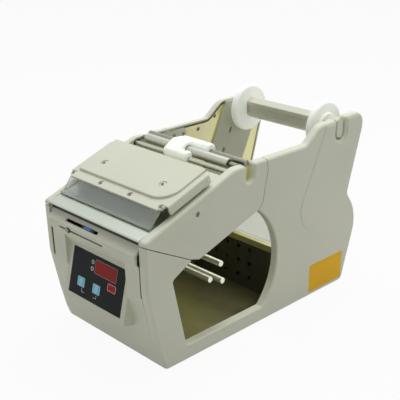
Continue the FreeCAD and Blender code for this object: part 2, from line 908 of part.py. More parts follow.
def key_box(x, height, size, margin, low, high):
    box = block(x - size[0] / 2 - margin, x + size[0] / 2 + margin, low, high,
                height - size[1] / 2 - margin, height + size[1] / 2 + margin)
    corners = [edge for edge in box.Edges if edge.BoundBox.YLength > 1]
    return on_panel(box.makeFillet(key_corner + margin, corners))


def window_block(margin, low, high):
    left, right, foot, head = window_box
    return on_panel(block(left - margin, right + margin, low, high, foot - margin, head + margin))


def lamp_rod(place, radius, low, high):
    lamp = Part.makeCylinder(radius, high - low, Vector(place[0], low, place[1]), Vector(0, 1, 0))
    return on_panel(lamp)


def panel_openings():
    openings = [key_box(*keys[name], 0.35, -5, 8) for name in keys]
    openings.append(window_block(-1.5, -5, 8))
    for place in lamp_places:
        openings.append(lamp_rod(place, lamp_radius + 0.05, -5, 8))
    return openings


def membrane_panel():
    sheet = block(membrane_left, panel_half_width, -membrane_sheet, 0, 0, lean)
    sheet = on_panel(sheet)
    openings = [key_box(*keys[name], 0.35, -5, 8) for name in keys]
    openings.append(window_block(0.05, -5, 8))
    for place in lamp_places:
        openings.append(lamp_rod(place, lamp_radius + 0.05, -5, 8))
    return cut(sheet, openings)


def key_cap(name):
    x, height, size = keys[name]
    cap = key_box(x, height, size, 0, -membrane_sheet - 0.4, 3.0)
    stem = on_panel(Part.makeCylinder(1.8, board_depth - 2.0 - key_travel - 0.3 - 3.0,
                                      Vector(x, 3.0, height), Vector(0, 1, 0)))
    return cap.fuse(stem)


def circuit_board():
    # Board behind the panel with the three switches, the display module and the lamp stands.
    plate = block(-panel_half_width, panel_half_width, board_depth, board_depth + board_sheet, 4, lean - 4)
    parts = [plate]
    for x, height, size in keys.values():
        parts.append(block(x - 3, x + 3, board_depth - 2.0, board_depth, height - 3, height + 3))
    left, right, foot, head = window_box
    parts.append(block(left + 1.7, right - 1.7, skin + 0.3, board_depth, foot + 1.7, head - 1.7))
    for place in lamp_places:
        parts.append(block(place[0] - 2, place[0] + 2, 4.2, board_depth, place[1] - 2, place[1] + 2))
    board = on_panel(join(parts))
    posts = []
    for x in (-panel_half_width + 5, panel_half_width - 5):
        for height in (8.0, lean - 8.0):
            stem = Part.makeCylinder(2.2, board_depth - skin, Vector(x, skin, height), Vector(0, 1, 0))
            posts.append(on_panel(stem))
    return join([board] + posts)


def indicator_lamps():
    return Part.makeCompound([lamp_rod(place, lamp_radius, -membrane_sheet - 0.3, 4.2) for place in lamp_places])


# Sensor under the visor
def sensor_carriage():
    # Slides along the visor on a rail; its top shows in the slot, its arm reaches the groove.
    top = slab(visor_slot_face(sensor_slot_width - 0.8), sensor_x - sensor_width / 2, sensor_x + sensor_width / 2)
    top = top.cut(slab(fascia_top_limit(), -half_width, half_width))
    body = block(sensor_x - sensor_width / 2, sensor_x + sensor_width / 2, 1.6, 12.0, 157.0, 164.0)
    arm = block(lock_screw_x - 6, sensor_x + sensor_width / 2, 1.6, 4.0, 151.5, 160.0)
    sleeve = rod(sensor_rail, 4.2, lock_screw_x - 6, sensor_x + sensor_width / 2)
    web = block(lock_screw_x - 6, sensor_x + sensor_width / 2, 2.0, 10.0, 154.0, 157.5)
    carriage = join([top, body, arm, sleeve, web])
    return cut(carriage, [rod(sensor_rail, sensor_rail_radius + slide_clearance, -half_width, half_width),
                          Part.makeCylinder(1.6, 8, Vector(lock_screw_x, 0, screw_groove_height), Vector(0, 1, 0))])


def fascia_top_limit():
    # Everything above the visor's sloping top, less a hair.
    run = visor_rear[0] - visor_edge[0]
    rise = visor_rear[1] - visor_edge[1]
    length = math.hypot(run, rise)
    down = 0.3
    base = [(visor_edge[0] - run + rise / length * down, visor_edge[1] - rise - run / length * down),
            (visor_rear[0] + run + rise / length * down, visor_rear[1] + rise - run / length * down)]
    return outline([(*base[0], 0), (*base[1], 0), (base[1][0] - 40, base[1][1] + 40, 0),
                    (base[0][0] - 40, base[0][1] + 40, 0)])


def sensor_guide_rail():
    width = inner_x - part_gap
    bar = rod(sensor_rail, sensor_rail_radius, -width + 8, width - 8)
    blocks = []
    for x in (-width, width - 8):
        blocks.append(block(x, x + 8, sensor_rail[0] - 5, sensor_rail[0] + 5, 149, 163))
    return join([bar] + blocks)


def trimmer():
    # Small blue trimmer seated in the carriage's top, showing in the slot.
    piece = slab(visor_slot_face(sensor_slot_width - 1.6), sensor_x - 6.2, sensor_x + 6.2)
    limit = slab(fascia_top_limit(), -half_width, half_width)
    return piece.common(move(limit, 0, -0.1, 0.1)).common(move(limit, 0, 0, 0)).cut(
        move(limit, 0, -0.5, 0.6))


def lock_screw():
    x = lock_screw_x
    shank = Part.makeCylinder(1.05, 9.0, Vector(x, visor_edge[0] + 0.6, screw_groove_height), Vector(0, 1, 0))
    start = Vector(x, visor_edge[0] - 0.3, screw_groove_height)
    head = Part.makeCylinder(lock_screw_radius, 1.9, start, Vector(0, 1, 0))
    reach = lock_screw_radius + 0.2
    slot = block(x - reach, x + reach, visor_edge[0] - 0.9, visor_edge[0] + 0.5, screw_groove_height - 0.4,
                 screw_groove_height + 0.4)
    return head.fuse(shank).cut(slot)


# Peel plate
def peel_plate():
    lean_angle = math.atan(deck_slope)
    start = (peel_front, peel_height)
    top_end = (start[0] + peel_length * math.cos(lean_angle), start[1] + peel_length * math.sin(lean_angle) - 3.0)
    low_end = (start[0] + peel_return, start[1] - 1.0)
    face = outline([
        (start[0], start[1], 0.9),
        (top_end[0], top_end[1], 0),
        (top_end[0], top_end[1] - peel_sheet, 0),
        (start[0] + 7.0, start[1] - 0.2, 0.8),
        (low_end[0], low_end[1], 0),
        (low_end[0], low_end[1] - peel_sheet, 0),
        (start[0] + 0.4, start[1] - 2.8, 1.0),
    ])
    width = inner_x - part_gap
    return slab(face, -width, width)


# Lid, in flat sizes before it is tilted
def lid_cover():
    top = lid_lip_height
    flange_front = lid_front + 10
    reach = lid_half_width - lid_lip_inset
    lip = block(-reach, reach, lid_front, flange_front + 10, top - lid_sheet, top)
    corners = [edge for edge in lip.Edges if edge.BoundBox.ZLength > 1 and edge.BoundBox.YMax < lid_front + 1]
    lip = lip.makeFillet(8.0, corners)
    skirt = lid_corners(block(-lid_half_width, lid_half_width, flange_front, lid_rear, lid_flange_floor, top),
                        lid_rear, lid_corner)
    inner = lid_corners(block(-lid_half_width + lid_sheet, lid_half_width - lid_sheet, flange_front - 5,
                              lid_rear - lid_sheet, lid_flange_floor - 5, top - lid_sheet),
                        lid_rear - lid_sheet, lid_corner - lid_sheet - 1.0)
    skirt = skirt.cut(inner)
    for side in (-1, 1):
        low, high = sorted((side * (ear_x[0] - part_gap), side * (lid_half_width - lid_sheet)))
        skirt = skirt.cut(block(low, high, lid_rear - 2 * lid_sheet, lid_rear + 1, 0, top - lid_sheet))
    shell = lip.fuse(skirt).removeSplitter()
    outer_edges = []
    for edge in shell.Edges:
        box = edge.BoundBox
        at_side = abs(max(abs(box.XMin), abs(box.XMax)) - lid_half_width) < 0.01 and box.YLength > 1
        at_rear = abs(box.YMax - lid_rear) < 0.01
        if (at_side or at_rear) and box.ZLength < 0.01 and abs(box.ZMin - top) < 0.01:
            outer_edges.append(edge)
    shell = shell.makeFillet(2.4, outer_edges)
    raised = raised_panel(0.0, top - 1.0, top + lid_raise)
    hollow = raised_panel(-lid_sheet, top - lid_sheet - 1, top + lid_raise - lid_sheet)
    shell = join([shell, raised]).cut(hollow)
    station, height = lid_axis
    holes = rod(lid_axis, lid_pin_radius + running_clearance, -half_width, half_width)
    screw_holes = []
    for x, y, z in lid_screw_places():
        screw_holes.append(Part.makeCylinder(1.7, 8, Vector(x, y, z - 6), Vector(0, 0, 1)))
        radius = 5.2 if z > top else 4.0
        screw_holes.append(Part.makeCylinder(radius, 4, Vector(x, y, z - lid_dish), Vector(0, 0, 1)))
    # The lower rear corner is rounded about the hinge, so that it clears the casing as the lid turns.
    heel = block(-half_width, half_width, station, lid_rear + 1, 0, height)
    heel = heel.cut(rod(lid_axis, height - part_gap, -half_width - 1, half_width + 1))
    return on_slope(cut(shell, [holes, heel] + screw_holes))


def lid_corners(shape, rear, radius):
    # Rounds the two upright rear corners.
    corners = [edge for edge in shape.Edges if edge.BoundBox.ZLength > 1 and edge.BoundBox.YMin > rear - 0.01]
    return shape.makeFillet(radius, corners)


def raised_panel(grow, low, high):
    half = lid_half_width - 8.0 + grow
    front = lid_front + lid_lip_depth - grow
    panel = block(-half, half, front, lid_rear + grow, low, high)
    left = [edge for edge in panel.Edges
            if edge.BoundBox.ZLength > 1 and edge.BoundBox.YMax < front + 1 and edge.BoundBox.XMax < 0]
    panel = panel.makeFillet(9.0 + grow, left)
    right = [edge for edge in panel.Edges
             if edge.BoundBox.ZLength > 1 and edge.BoundBox.YMax < front + 1 and edge.BoundBox.XMin > 0]
    panel = panel.makeFillet(26.0 + grow, right)
    if grow < 0:
        return panel
    rim = [edge for edge in panel.Edges
           if abs(edge.BoundBox.ZMin - high) < 0.01 and edge.BoundBox.YMin < lid_rear - 1]
    return panel.makeFillet(1.4, rim)


def lid_screw_places():
    lip = [(x, lid_front + 6.8, lid_lip_height) for x in (-84.0, -28.0, 28.0, 84.0)]
    raised = [(x, lid_front + 37.8, lid_lip_height + lid_raise) for x in (-56.0, 56.0)]
    return lip + raised


def lid_screws():
    screws = []
    for x, y, z in lid_screw_places():
        seat = z - lid_dish
        head = Part.makeSphere(4.4, Vector(x, y, seat - 3.3))
        head = head.common(Part.makeCylinder(3.0, 3, Vector(x, y, seat), Vector(0, 0, 1)))
        shank = Part.makeCylinder(1.5, 6.0, Vector(x, y, seat - 6.0), Vector(0, 0, 1))
        cross = block(x - 1.9, x + 1.9, y - 0.45, y + 0.45, seat + 0.2, z + 3)
        second = block(x - 0.45, x + 0.45, y - 1.9, y + 1.9, seat + 0.2, z + 3)
        screws.append(on_slope(cut(head.fuse(shank), [cross, second])))
    return Part.makeCompound(screws)


def lid_clear_plate():
    under = lid_lip_height - lid_sheet
    rear = slope_point(lid_front + 20, under)
    bend = slope_point(lid_front + 1.5, under)
    rear_low = slope_point(lid_front + 20, under - clear_sheet)
    bend_low = slope_point(lid_front + 2.2, under - clear_sheet)
    face = outline([
        (rear[0], rear[1], 0),
        (bend[0], bend[1], 2.5),
        (clear_front[0] + 4.5, clear_front[1] + 4.6, 1.0),
        (clear_front[0], clear_front[1] + clear_lip, 1.2),
        (clear_front[0], clear_front[1] + 0.4, 0),
        (clear_front[0] + clear_sheet * 1.2, clear_front[1] + 0.4 + clear_sheet * 0.42, 0),
        (bend_low[0], bend_low[1], 0.6),
        (rear_low[0], rear_low[1], 0),
    ])
    sheet = slab(face, -clear_half_width, clear_half_width)
    holes = []
    for x, y, z in lid_screw_places()[:4]:
        hole = Part.makeCylinder(1.7, 12, Vector(x, y, z - 10), Vector(0, 0, 1))
        holes.append(on_slope(hole))
    return cut(sheet, holes)


def lid_pins():
    place = slope_point(*lid_axis)
    right = rod(place, lid_pin_radius, ear_x[0], lid_half_width - 0.4)
    return Part.makeCompound([mirror(right), right])


# Rods and guide
def front_guide_rod():
    return rod(front_rod, front_rod_radius, -plate_outer, plate_outer)


def rear_guide_rod():
    end = plate_outer + 1.0
    bar = rod(rear_rod, rear_rod_radius, -end, end)
    return round_ends(round_ends(bar, 0.6, end), 0.6, -end)


def idler_shaft():
    return rod(tube_axis, roller_shaft_radius, -inner_x, inner_x)


def idler_tube():
    tube = rod(tube_axis, tube_radius, -tube_end - 4, tube_end)
    tube = tube.cut(rod(tube_axis, tube_bore, -half_width, half_width))
    bushes = [rod(tube_axis, tube_bore, x, x + 6) for x in (-tube_end - 4, tube_end - 9)]
    bore = rod(tube_axis, roller_shaft_radius + slide_clearance, -half_width, half_width)
    return cut(join([tube] + bushes), [bore])


def label_guide():
    # Saddle of white nylon: a thick boss over each rod, joined by a web that arches over the tube.
    bosses = []
    for (s, z, radius), low, high in ((guide_front_boss, guide_left, guide_front_end),
                                      (guide_rear_boss, guide_left + 2, guide_rear_end)):
        boss = rod((s, z), radius, low, high)
        bosses.append(round_ends(round_ends(boss, 3.2, high), 3.2, low))
    front_s, front_z, front_radius = guide_front_boss
    rear_s, rear_z, rear_radius = guide_rear_boss
    crown = tube_axis[1] + tube_radius + guide_crown
    arch = outline([
        (front_s - front_radius + 0.2, front_z - 2.0, 2),
        (front_s - front_radius + 0.8, front_z + 5.0, 5),
        (tube_axis[0] - 3.0, crown, 8),
        (rear_s - 3.0, rear_z + rear_radius - 0.4, 6),
        (rear_s + rear_radius - 0.6, rear_z + 3.0, 5),
        (rear_s + rear_radius - 0.6, rear_z - 3.0, 2),
    ])
    web = slab(arch, guide_left, guide_web_end)
    web = round_ends(round_ends(web, 2.4, guide_web_end), 2.4, guide_left)
    reach = tube_radius + guide_tunnel_gap
    tunnel = rod(tube_axis, reach, -half_width, half_width)
    below = block(-half_width, half_width, tube_axis[0] - reach, tube_axis[0] + reach, tube_axis[1] - 30,
                  tube_axis[1])
    bores = [rod(place, radius + slide_clearance, -half_width, half_width)
             for place, radius in ((front_rod, front_rod_radius), (rear_rod, rear_rod_radius))]
    return cut(join([web] + bosses), [tunnel, below] + bores)


# Roll bar and discs
def bar_profile(grow=0.0):
    s, z = bar_centre
    width = bar_half_width + grow
    corners = [
        (s - width, z - bar_keel, 1.0), (s - width, z + bar_shoulder, 1.0),
        (s, z + bar_rise + grow, 1.5), (s + width, z + bar_shoulder, 1.0),
        (s + width, z - bar_keel, 1.0), (s, z - bar_drop - grow, 1.5),
    ]
    return outline(corners)


def roll_bar():
    # Ridged bar with a groove in either side; narrower rounded tabs lie in the posts' slots.
    full = slab(bar_profile(), -bar_full_end, bar_full_end)
    s, z = bar_centre
    foot, head, depth = bar_groove
    groove_end = inner_x - channel_sheet - part_gap
    for side in (-1, 1):
        edge = s + side * bar_half_width
        full = full.cut(block(-groove_end, groove_end, edge - depth, edge + depth, z + foot, z + head))
    low = z - bar_drop + bar_tab_lift
    tab = outline([
        (s - bar_tab_half, low, bar_tab_half - 0.1), (s - bar_tab_half, z + bar_rise - 4, 3.0),
        (s, z + bar_rise, 2.0), (s + bar_tab_half, z + bar_rise - 4, 3.0),
        (s + bar_tab_half, low, bar_tab_half - 0.1),
    ])
    tabs = round_ends(round_ends(slab(tab, -bar_end, bar_end), 0.8, bar_end), 0.8, -bar_end)
    core = block(-bar_end - 1, bar_end + 1, s - 30, s + 30, z - 60, z + 60)
    middle = block(-bar_full_end + 2, bar_full_end - 2, s - 30, s + 30, z - 60, z + 60)
    return join([full, tabs.common(core).cut(middle)])


def roll_disc(x, hub_side):
    low, high = x - disc_thickness / 2, x + disc_thickness / 2
    disc = rod(bar_centre, disc_radius, low, high)
    disc = round_ends(round_ends(disc, disc_round, high), disc_round, low)
    hub_low, hub_high = (high, high + disc_hub) if hub_side > 0 else (low - disc_hub, low)
    hub = rod(bar_centre, disc_hub_radius, hub_low, hub_high)
    hub = round_ends(hub, 1.2, hub_high if hub_side > 0 else hub_low)
    return disc.fuse(hub).removeSplitter().cut(slab(bar_profile(0.3), low - 10, high + 10))


# Take-up spindle and its drive
def takeup_hub():
    hub = rod(takeup_place, hub_radius, spindle_front, spindle_front + hub_thickness)
    hub = round_ends(hub, 2.0, spindle_front + hub_thickness)
    boss = rod(takeup_place, 12.0, spindle_front + hub_thickness - 1, spindle_front + hub_thickness + 5)
    hub = join([hub, boss])
    holes = [rod(takeup_place, shaft_radius, -half_width, half_width)]
    for place in spindle_places():
        holes.append(rod(place, spindle_rod_radius, spindle_front + 1, half_width))
    return cut(hub, holes)


def spindle_places():
    places = []
    for angle in spindle_angles:
        turn = math.radians(angle)
        places.append((takeup_place[0] + spindle_circle * math.cos(turn),
                       takeup_place[1] + spindle_circle * math.sin(turn)))
    return places


def spindle_rods():
    rods = []
    for place in spindle_places():
        bar = rod(place, spindle_rod_radius, spindle_front + 1, spindle_end)
        rods.append(round_ends(bar, 0.8, spindle_end))
    return Part.makeCompound(rods)


def takeup_shaft():
    return rod(takeup_place, shaft_radius, pulley_low, spindle_front + hub_thickness + 5)


def takeup_bush():
    # Flanged bearing in the left plate.
    sleeve = rod(takeup_place, bush_radius, -plate_outer, -inner_x)
    flange = rod(takeup_place, bush_flange, -inner_x, -inner_x + 0.9)
    return join([sleeve, flange]).cut(rod(takeup_place, shaft_radius + running_clearance, -half_width, 0))


def grooved_pulley(place, radius, bore, low, high):
    # Round-toothed belt pulley.
    wheel = rod(place, radius, low, high)
    count = max(10, round(2 * math.pi * radius / 5.0))
    grooves = []
    for index in range(count):
        turn = 2 * math.pi * (index + 0.5) / count
        grooves.append(rod((place[0] + radius * math.cos(turn), place[1] + radius * math.sin(turn)), 0.8, low - 1,
                           high + 1))
    wheel = wheel.cut(Part.makeCompound(grooves))
    return wheel.cut(rod(place, bore, low - 1, high + 1))


def belt(place_a, radius_a, place_b, radius_b, low, high):
    # Open belt round two pulleys: the hull of two discs, less the same hull made smaller.
    def hull(extra):
        ax, az = place_a
        bx, bz = place_b
        ra, rb = radius_a + extra, radius_b + extra
        distance = math.hypot(bx - ax, bz - az)
        heading = math.atan2(bz - az, bx - ax)
        lift = math.acos((ra - rb) / distance)
        edges = []
        tangents = []
        for side in (1, -1):
            turn = heading + side * lift
            tangents.append((Vector(0, ax + ra * math.cos(turn), az + ra * math.sin(turn)),
                             Vector(0, bx + rb * math.cos(turn), bz + rb * math.sin(turn))))
        far_a = Vector(0, ax - ra * math.cos(heading), az - ra * math.sin(heading))
        far_b = Vector(0, bx + rb * math.cos(heading), bz + rb * math.sin(heading))
        edges.append(Part.LineSegment(tangents[0][0], tangents[0][1]).toShape())
        edges.append(Part.Arc(tangents[0][1], far_b, tangents[1][1]).toShape())
        edges.append(Part.LineSegment(tangents[1][1], tangents[1][0]).toShape())
        edges.append(Part.Arc(tangents[1][0], far_a, tangents[0][0]).toShape())
        return Part.Face(Part.Wire(edges))
    return slab(hull(0.3 + belt_sheet), low, high).cut(slab(hull(0.3), low - 1, high + 1))


def gear_motor(place, radius, length, shaft, shaft_low, plate_x):
    # Can motor with a gearbox, lying across the body with its shaft to the left.
    box_length = 22.0
    gearbox = rod(place, radius, plate_x, plate_x + box_length)
    can = rod(place, radius * 0.86, plate_x + box_length, plate_x + length - 3)
    cap = rod(place, radius * 0.4, plate_x + length - 3, plate_x + length)
    spindle = rod(place, shaft, shaft_low, plate_x + 1)
    motor = join([gearbox, can, cap, spindle])
    ends = [edge for edge in motor.Edges
            if abs(edge.BoundBox.XMin - (plate_x + length - 3)) < 0.01 and edge.BoundBox.XLength < 0.01
            and edge.BoundBox.YLength > radius]
    return motor.makeFillet(1.5, ends)


# Feed rollers
def pinch_place():
    turn = math.radians(pinch_angle)
    reach = feed_radius + pinch_radius + 0.05
    return (feed_roller[0] + reach * math.cos(turn), feed_roller[1] + reach * math.sin(turn))


def feed_shaft():
    # Steel shaft with its toothed pulley pressed on at the left end.
    shaft = rod(feed_roller, roller_shaft_radius, feed_belt_low, feed_block_high - 1)
    pulley = grooved_pulley(feed_roller, feed_pulley_radius, roller_shaft_radius - 0.5, feed_belt_low, feed_belt_high)
    return join([shaft, pulley])


def feed_sleeve():
    sleeve = rod(feed_roller, feed_radius, -feed_half, feed_half)
    sleeve = round_ends(round_ends(sleeve, 0.8, feed_half), 0.8, -feed_half)
    return sleeve.cut(rod(feed_roller, roller_shaft_radius, -half_width, half_width))


def pinch_roller():
    core = rod(pinch_place(), pinch_radius, -feed_half, feed_half)
    core = round_ends(round_ends(core, 0.8, feed_half), 0.8, -feed_half)
    return core.fuse(rod(pinch_place(), roller_shaft_radius, -feed_half - 6, feed_half + 6)).removeSplitter()


def roller_blocks():
    # Bearing blocks that hold both rollers, and a foot to the side plate.
    pinch = pinch_place()
    face = outline([
        (feed_roller[0] - 9, feed_roller[1] - 5, 3),
        (feed_roller[0] - 9, feed_roller[1] + 9, 4),
        (feed_roller[0] + 10, feed_roller[1] + 9, 4),
        (pinch[0] + 8, pinch[1] + 2, 4),
        (pinch[0] + 8, pinch[1] - 7, 3),
        (pinch[0] - 8, pinch[1] - 7, 3),
    ])
    right = slab(face, feed_block_low, feed_block_high)
    left = mirror(slab(face, feed_block_low, feed_block_inner))
    motor = feed_motor_place
    reach = feed_motor_radius + 1
    plate = outline([
        (motor[0] - reach, motor[1] - reach + 1, reach * 0.8),
        (motor[0] - reach, motor[1] + reach, reach * 0.6),
        (feed_roller[0] - 6, feed_roller[1] + 4, 3),
        (feed_roller[0] + 4, feed_roller[1] - 8, 3),
        (pinch[0], pinch[1] - 6, 3),
        (motor[0] + reach - 2, motor[1] - reach + 1, 6),
    ])
    plate = slab(plate, -feed_block_inner, -feed_block_low)
    outer = -inner_x + part_gap
    foot = block(outer, -feed_block_low - 1, pinch[0] - 3, pinch[0] + 6, pinch[1] - 6.5, pinch[1] - 3.5)
    left = join([left, plate, foot])
    bore = roller_shaft_radius + running_clearance
    holes = [rod(place, bore, -half_width, half_width) for place in (feed_roller, pinch)]
    holes.append(rod(motor, 3.0, -half_width, 0))
    return Part.makeCompound([cut(left, holes), cut(right, holes[:2])])


def bulkhead():
    # Wall between the front compartment and the bay, along the bay opening's front edge.
    sheet = 1.5
    width = inner_x - part_gap
    away = 2.0
    corner = bay_front_corner
    face = outline([
        (bay_front_foot - away, base_height, 0),
        (corner[0] - away, corner[1], 3),
        (cheek_tip[0] - away, cheek_tip[1] + 3.5, 0),
        (cheek_tip[0] - away, cheek_tip[1] + 3.5 + sheet * 1.2, 0),
        (corner[0] - away - sheet, corner[1] + 1, 3),
        (bay_front_foot - away - sheet, base_height, 0),
    ])
    return slab(face, -width, width)


# Electrics in the rear box
def power_board():
    # Supply and control board on stands: transformer, capacitors, heat sink and chips.
    left, right = supply_left, supply_right
    rear = rear_panel_station - supply_gap
    front = rear - supply_length
    foot = base_height + supply_stand
    top = foot + supply_sheet
    board = block(left, right, front, rear, foot, top)
    core = block(left + 6, left + 48, front + 6, rear - 10, top, top + 40)
    winding = block(left + 12, left + 42, front + 1, rear - 5, top + 5, top + 35)
    corners = [edge for edge in winding.Edges if edge.BoundBox.XLength < 0.1 and edge.BoundBox.YLength < 0.1]
    winding = winding.makeFillet(4.0, corners)
    caps = [post(left + x, front + 32, 6.0, top, top + 24) for x in (60, 76)]
    fins = left + 90
    fin_places = [fins + 8 * index for index in range(4)]
    sinks = [block(x, x + 2, front + 3, front + 23, top, top + 20) for x in fin_places]
    sinks.append(block(fins, fins + 26, front + 11, front + 15, top, top + 20))
    chips = [block(left + x, left + x + 12, front + 30, front + 40, top, top + 3) for x in (88, 106)]
    stands = [post(x, s, 3.0, base_height, foot) for x in (left + 4, right - 4) for s in (front + 4, rear - 4)]
    return join([board, core, winding] + caps + sinks + chips + stands)


# Fasteners
def pan_screw(place, radius, plane_x, way):
    # Screw head on a face at plane_x, pointing away along x.
    s, z = place
    head = Part.makeSphere(radius * 1.4, Vector(plane_x - way * radius * 0.95, s, z))
    low, high = sorted((plane_x, plane_x + way * radius))
    head = head.common(rod(place, radius, low, high))
    low, high = sorted((plane_x - way * 2.0, plane_x + way * 0.2))
    shank = rod(place, radius * shank_share, low, high)
    low, high = sorted((plane_x + way * radius * 0.22, plane_x + way * radius))
    slots = [block(low, high, s - radius * 0.6, s + radius * 0.6, z - 0.3, z + 0.3),
             block(low, high, s - 0.3, s + 0.3, z - radius * 0.6, z + radius * 0.6)]
    return cut(head.fuse(shank), slots)


def cover_screws():
    screws = []
    for place in cover_screw_places:
        right = pan_screw(place, cover_screw_radius, shell_x - screw_sink, 1)
        screws.append(right.common(block(0, shell_x - 0.05, 0, body_length, 0, 300)))
        screws.append(mirror(screws[-1]))
    return Part.makeCompound(screws)


def bracket_screws():
    screws = []
    for place in bracket_screw_places:
        screws.append(pan_screw(place, bracket_screw_radius, -inner_x + bracket_sheet, 1))
        screws.append(mirror(screws[-1]))
    for place in plate_screw_places:
        screws.append(pan_screw(place, cover_screw_radius, -inner_x, 1))
        screws.append(mirror(screws[-1]))
    return Part.makeCompound(screws)


def save(name, shape):
    placed = move(shape, 0, -row_centre, 0)
    placed.exportStep("parts/" + name + ".step")
    print(name, len(placed.Solids), "solid(s)", round(placed.Volume / 1000, 2), "cm3", placed.isValid())


def main():
    os.makedirs("parts", exist_ok=True)
    save("right_cover", cover(True))
    save("left_cover", mirror(cover(False)))
    save("upper_casing", upper_casing())
    save("right_side_plate", side_plate(True))
    save("left_side_plate", side_plate(False))
    channel = bar_channel()
    save("right_bar_channel", channel)
    save("left_bar_channel", mirror(channel))
    bracket = rod_bracket()
    save("right_rod_bracket", bracket)
    save("left_rod_bracket", mirror(bracket))
    save("base_plate", base_plate())
    save("rubber_feet", rubber_feet())
    save("rear_box_panel", rear_box_panel())
    save("rear_box_top", rear_box_top())
    save("rear_panel", rear_panel())
    save("power_inlet", power_inlet())
    save("power_rocker", power_rocker())
    save("front_fascia", front_fascia())
    save("membrane_panel", membrane_panel())
    save("display_window", window_block(0, -membrane_sheet - 0.2, -0.05))
    save("indicator_lamps", indicator_lamps())
    save("circuit_board", circuit_board())
    for name in keys:
        save(name, key_cap(name))
    save("sensor_rail", sensor_guide_rail())
    save("sensor_carriage", sensor_carriage().cut(trimmer()))
    save("sensor_trimmer", trimmer())
    save("sensor_lock_screw", lock_screw())
    save("peel_plate", peel_plate())
    save("bulkhead", bulkhead())
    save("lid_cover", lid_cover())
    save("lid_clear_plate", lid_clear_plate())
    save("lid_screws", lid_screws())
    save("lid_hinge_pins", lid_pins())
    save("front_guide_rod", front_guide_rod())
    save("rear_guide_rod", rear_guide_rod())
    save("idler_shaft", idler_shaft())
    save("idler_tube", idler_tube())
    save("label_guide", label_guide())
    save("roll_bar", roll_bar())
    save("left_disc", roll_disc(left_disc_x, -1))
    save("right_disc", roll_disc(right_disc_x, 1))
    save("takeup_hub", takeup_hub())
    save("spindle_rods", spindle_rods())
    save("takeup_shaft", takeup_shaft())
    save("takeup_bush", takeup_bush())
    save("takeup_pulley", grooved_pulley(takeup_place, takeup_pulley_radius, shaft_radius, pulley_low, pulley_high))
    save("takeup_motor", gear_motor(takeup_motor_place, motor_radius, motor_length, takeup_spindle_radius,
                                    pulley_low, -inner_x + 0.2))
    save("takeup_motor_pulley", grooved_pulley(takeup_motor_place, motor_pulley_radius,
                                               takeup_spindle_radius + running_clearance, pulley_low, pulley_high))
    save("takeup_belt", belt(takeup_place, takeup_pulley_radius, takeup_motor_place, motor_pulley_radius,
                             pulley_low, pulley_low + belt_width))
    save("feed_shaft", feed_shaft())
    save("feed_sleeve", feed_sleeve())
    save("pinch_roller", pinch_roller())
    save("roller_blocks", roller_blocks())
    save("feed_motor", gear_motor(feed_motor_place, feed_motor_radius, feed_motor_length, feed_spindle_radius,
                                  feed_belt_low, -feed_block_low))
    save("feed_motor_pulley", grooved_pulley(feed_motor_place, feed_motor_pulley,
                                             feed_spindle_radius + running_clearance, feed_belt_low, feed_belt_high))
    save("feed_belt", belt(feed_roller, feed_pulley_radius, feed_motor_place, feed_motor_pulley,
                           feed_belt_low, feed_belt_high - 0.2))
    save("power_board", power_board())
    save("cover_screws", cover_screws())
    save("bracket_screws", bracket_screws())


main()
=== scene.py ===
import math
import bmesh
import bpy
from mathutils import Matrix, Vector


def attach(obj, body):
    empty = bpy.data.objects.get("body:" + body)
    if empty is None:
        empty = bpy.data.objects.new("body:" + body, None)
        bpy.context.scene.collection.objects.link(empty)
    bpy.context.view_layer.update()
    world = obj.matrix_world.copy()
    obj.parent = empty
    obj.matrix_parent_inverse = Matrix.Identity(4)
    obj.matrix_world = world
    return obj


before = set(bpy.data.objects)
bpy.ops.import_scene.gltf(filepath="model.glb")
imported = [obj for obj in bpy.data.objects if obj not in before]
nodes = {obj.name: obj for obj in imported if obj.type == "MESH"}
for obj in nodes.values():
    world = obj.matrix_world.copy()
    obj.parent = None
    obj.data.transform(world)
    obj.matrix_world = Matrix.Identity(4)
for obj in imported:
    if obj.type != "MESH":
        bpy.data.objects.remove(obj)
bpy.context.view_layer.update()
print("machine parts loaded:", len(nodes))

mm = 0.001
rowCentre = 203.8  # the drawing counts back from the cheeks' front edge


def place(x, back, up):
    return Vector((x, back - rowCentre, up)) * mm


def tint(red, green, blue):
    def linear(value):
        value = value / 255
        return value / 12.92 if value <= 0.04045 else ((value + 0.055) / 1.055) ** 2.4
    return (linear(red), linear(green), linear(blue), 1.0)


# Shader groups that the finishes share
def startGroup(name, inputs, outputs):
    group = bpy.data.node_groups.new(name, "ShaderNodeTree")
    for label, kind, value in inputs:
        socket = group.interface.new_socket(name=label, in_out="INPUT", socket_type=kind)
        socket.default_value = value
    for label, kind in outputs:
        group.interface.new_socket(name=label, in_out="OUTPUT", socket_type=kind)
    return group, group.nodes.new("NodeGroupInput"), group.nodes.new("NodeGroupOutput")


def objectPoint(tree):
    return tree.nodes.new("ShaderNodeTexCoord").outputs["Object"]


def deliver(group, result, values):
    for label, value in values.items():
        group.links.new(value, result.inputs[label])
    return group


def noise(tree, scale, detail=2.0, rough=0.5, vector=None):
    made = tree.nodes.new("ShaderNodeTexNoise")
    made.inputs["Scale"].default_value = scale
    made.inputs["Detail"].default_value = detail
    made.inputs["Roughness"].default_value = rough
    if vector is not None:
        tree.links.new(vector, made.inputs["Vector"])
    return made


def remap(tree, value, fromLow, fromHigh, toLow, toHigh):
    made = tree.nodes.new("ShaderNodeMapRange")
    limits = {"From Min": fromLow, "From Max": fromHigh, "To Min": toLow, "To Max": toHigh}
    for label, number in limits.items():
        if isinstance(number, (int, float)):
            made.inputs[label].default_value = number
        else:
            tree.links.new(number, made.inputs[label])
    tree.links.new(value, made.inputs["Value"])
    return made.outputs["Result"]


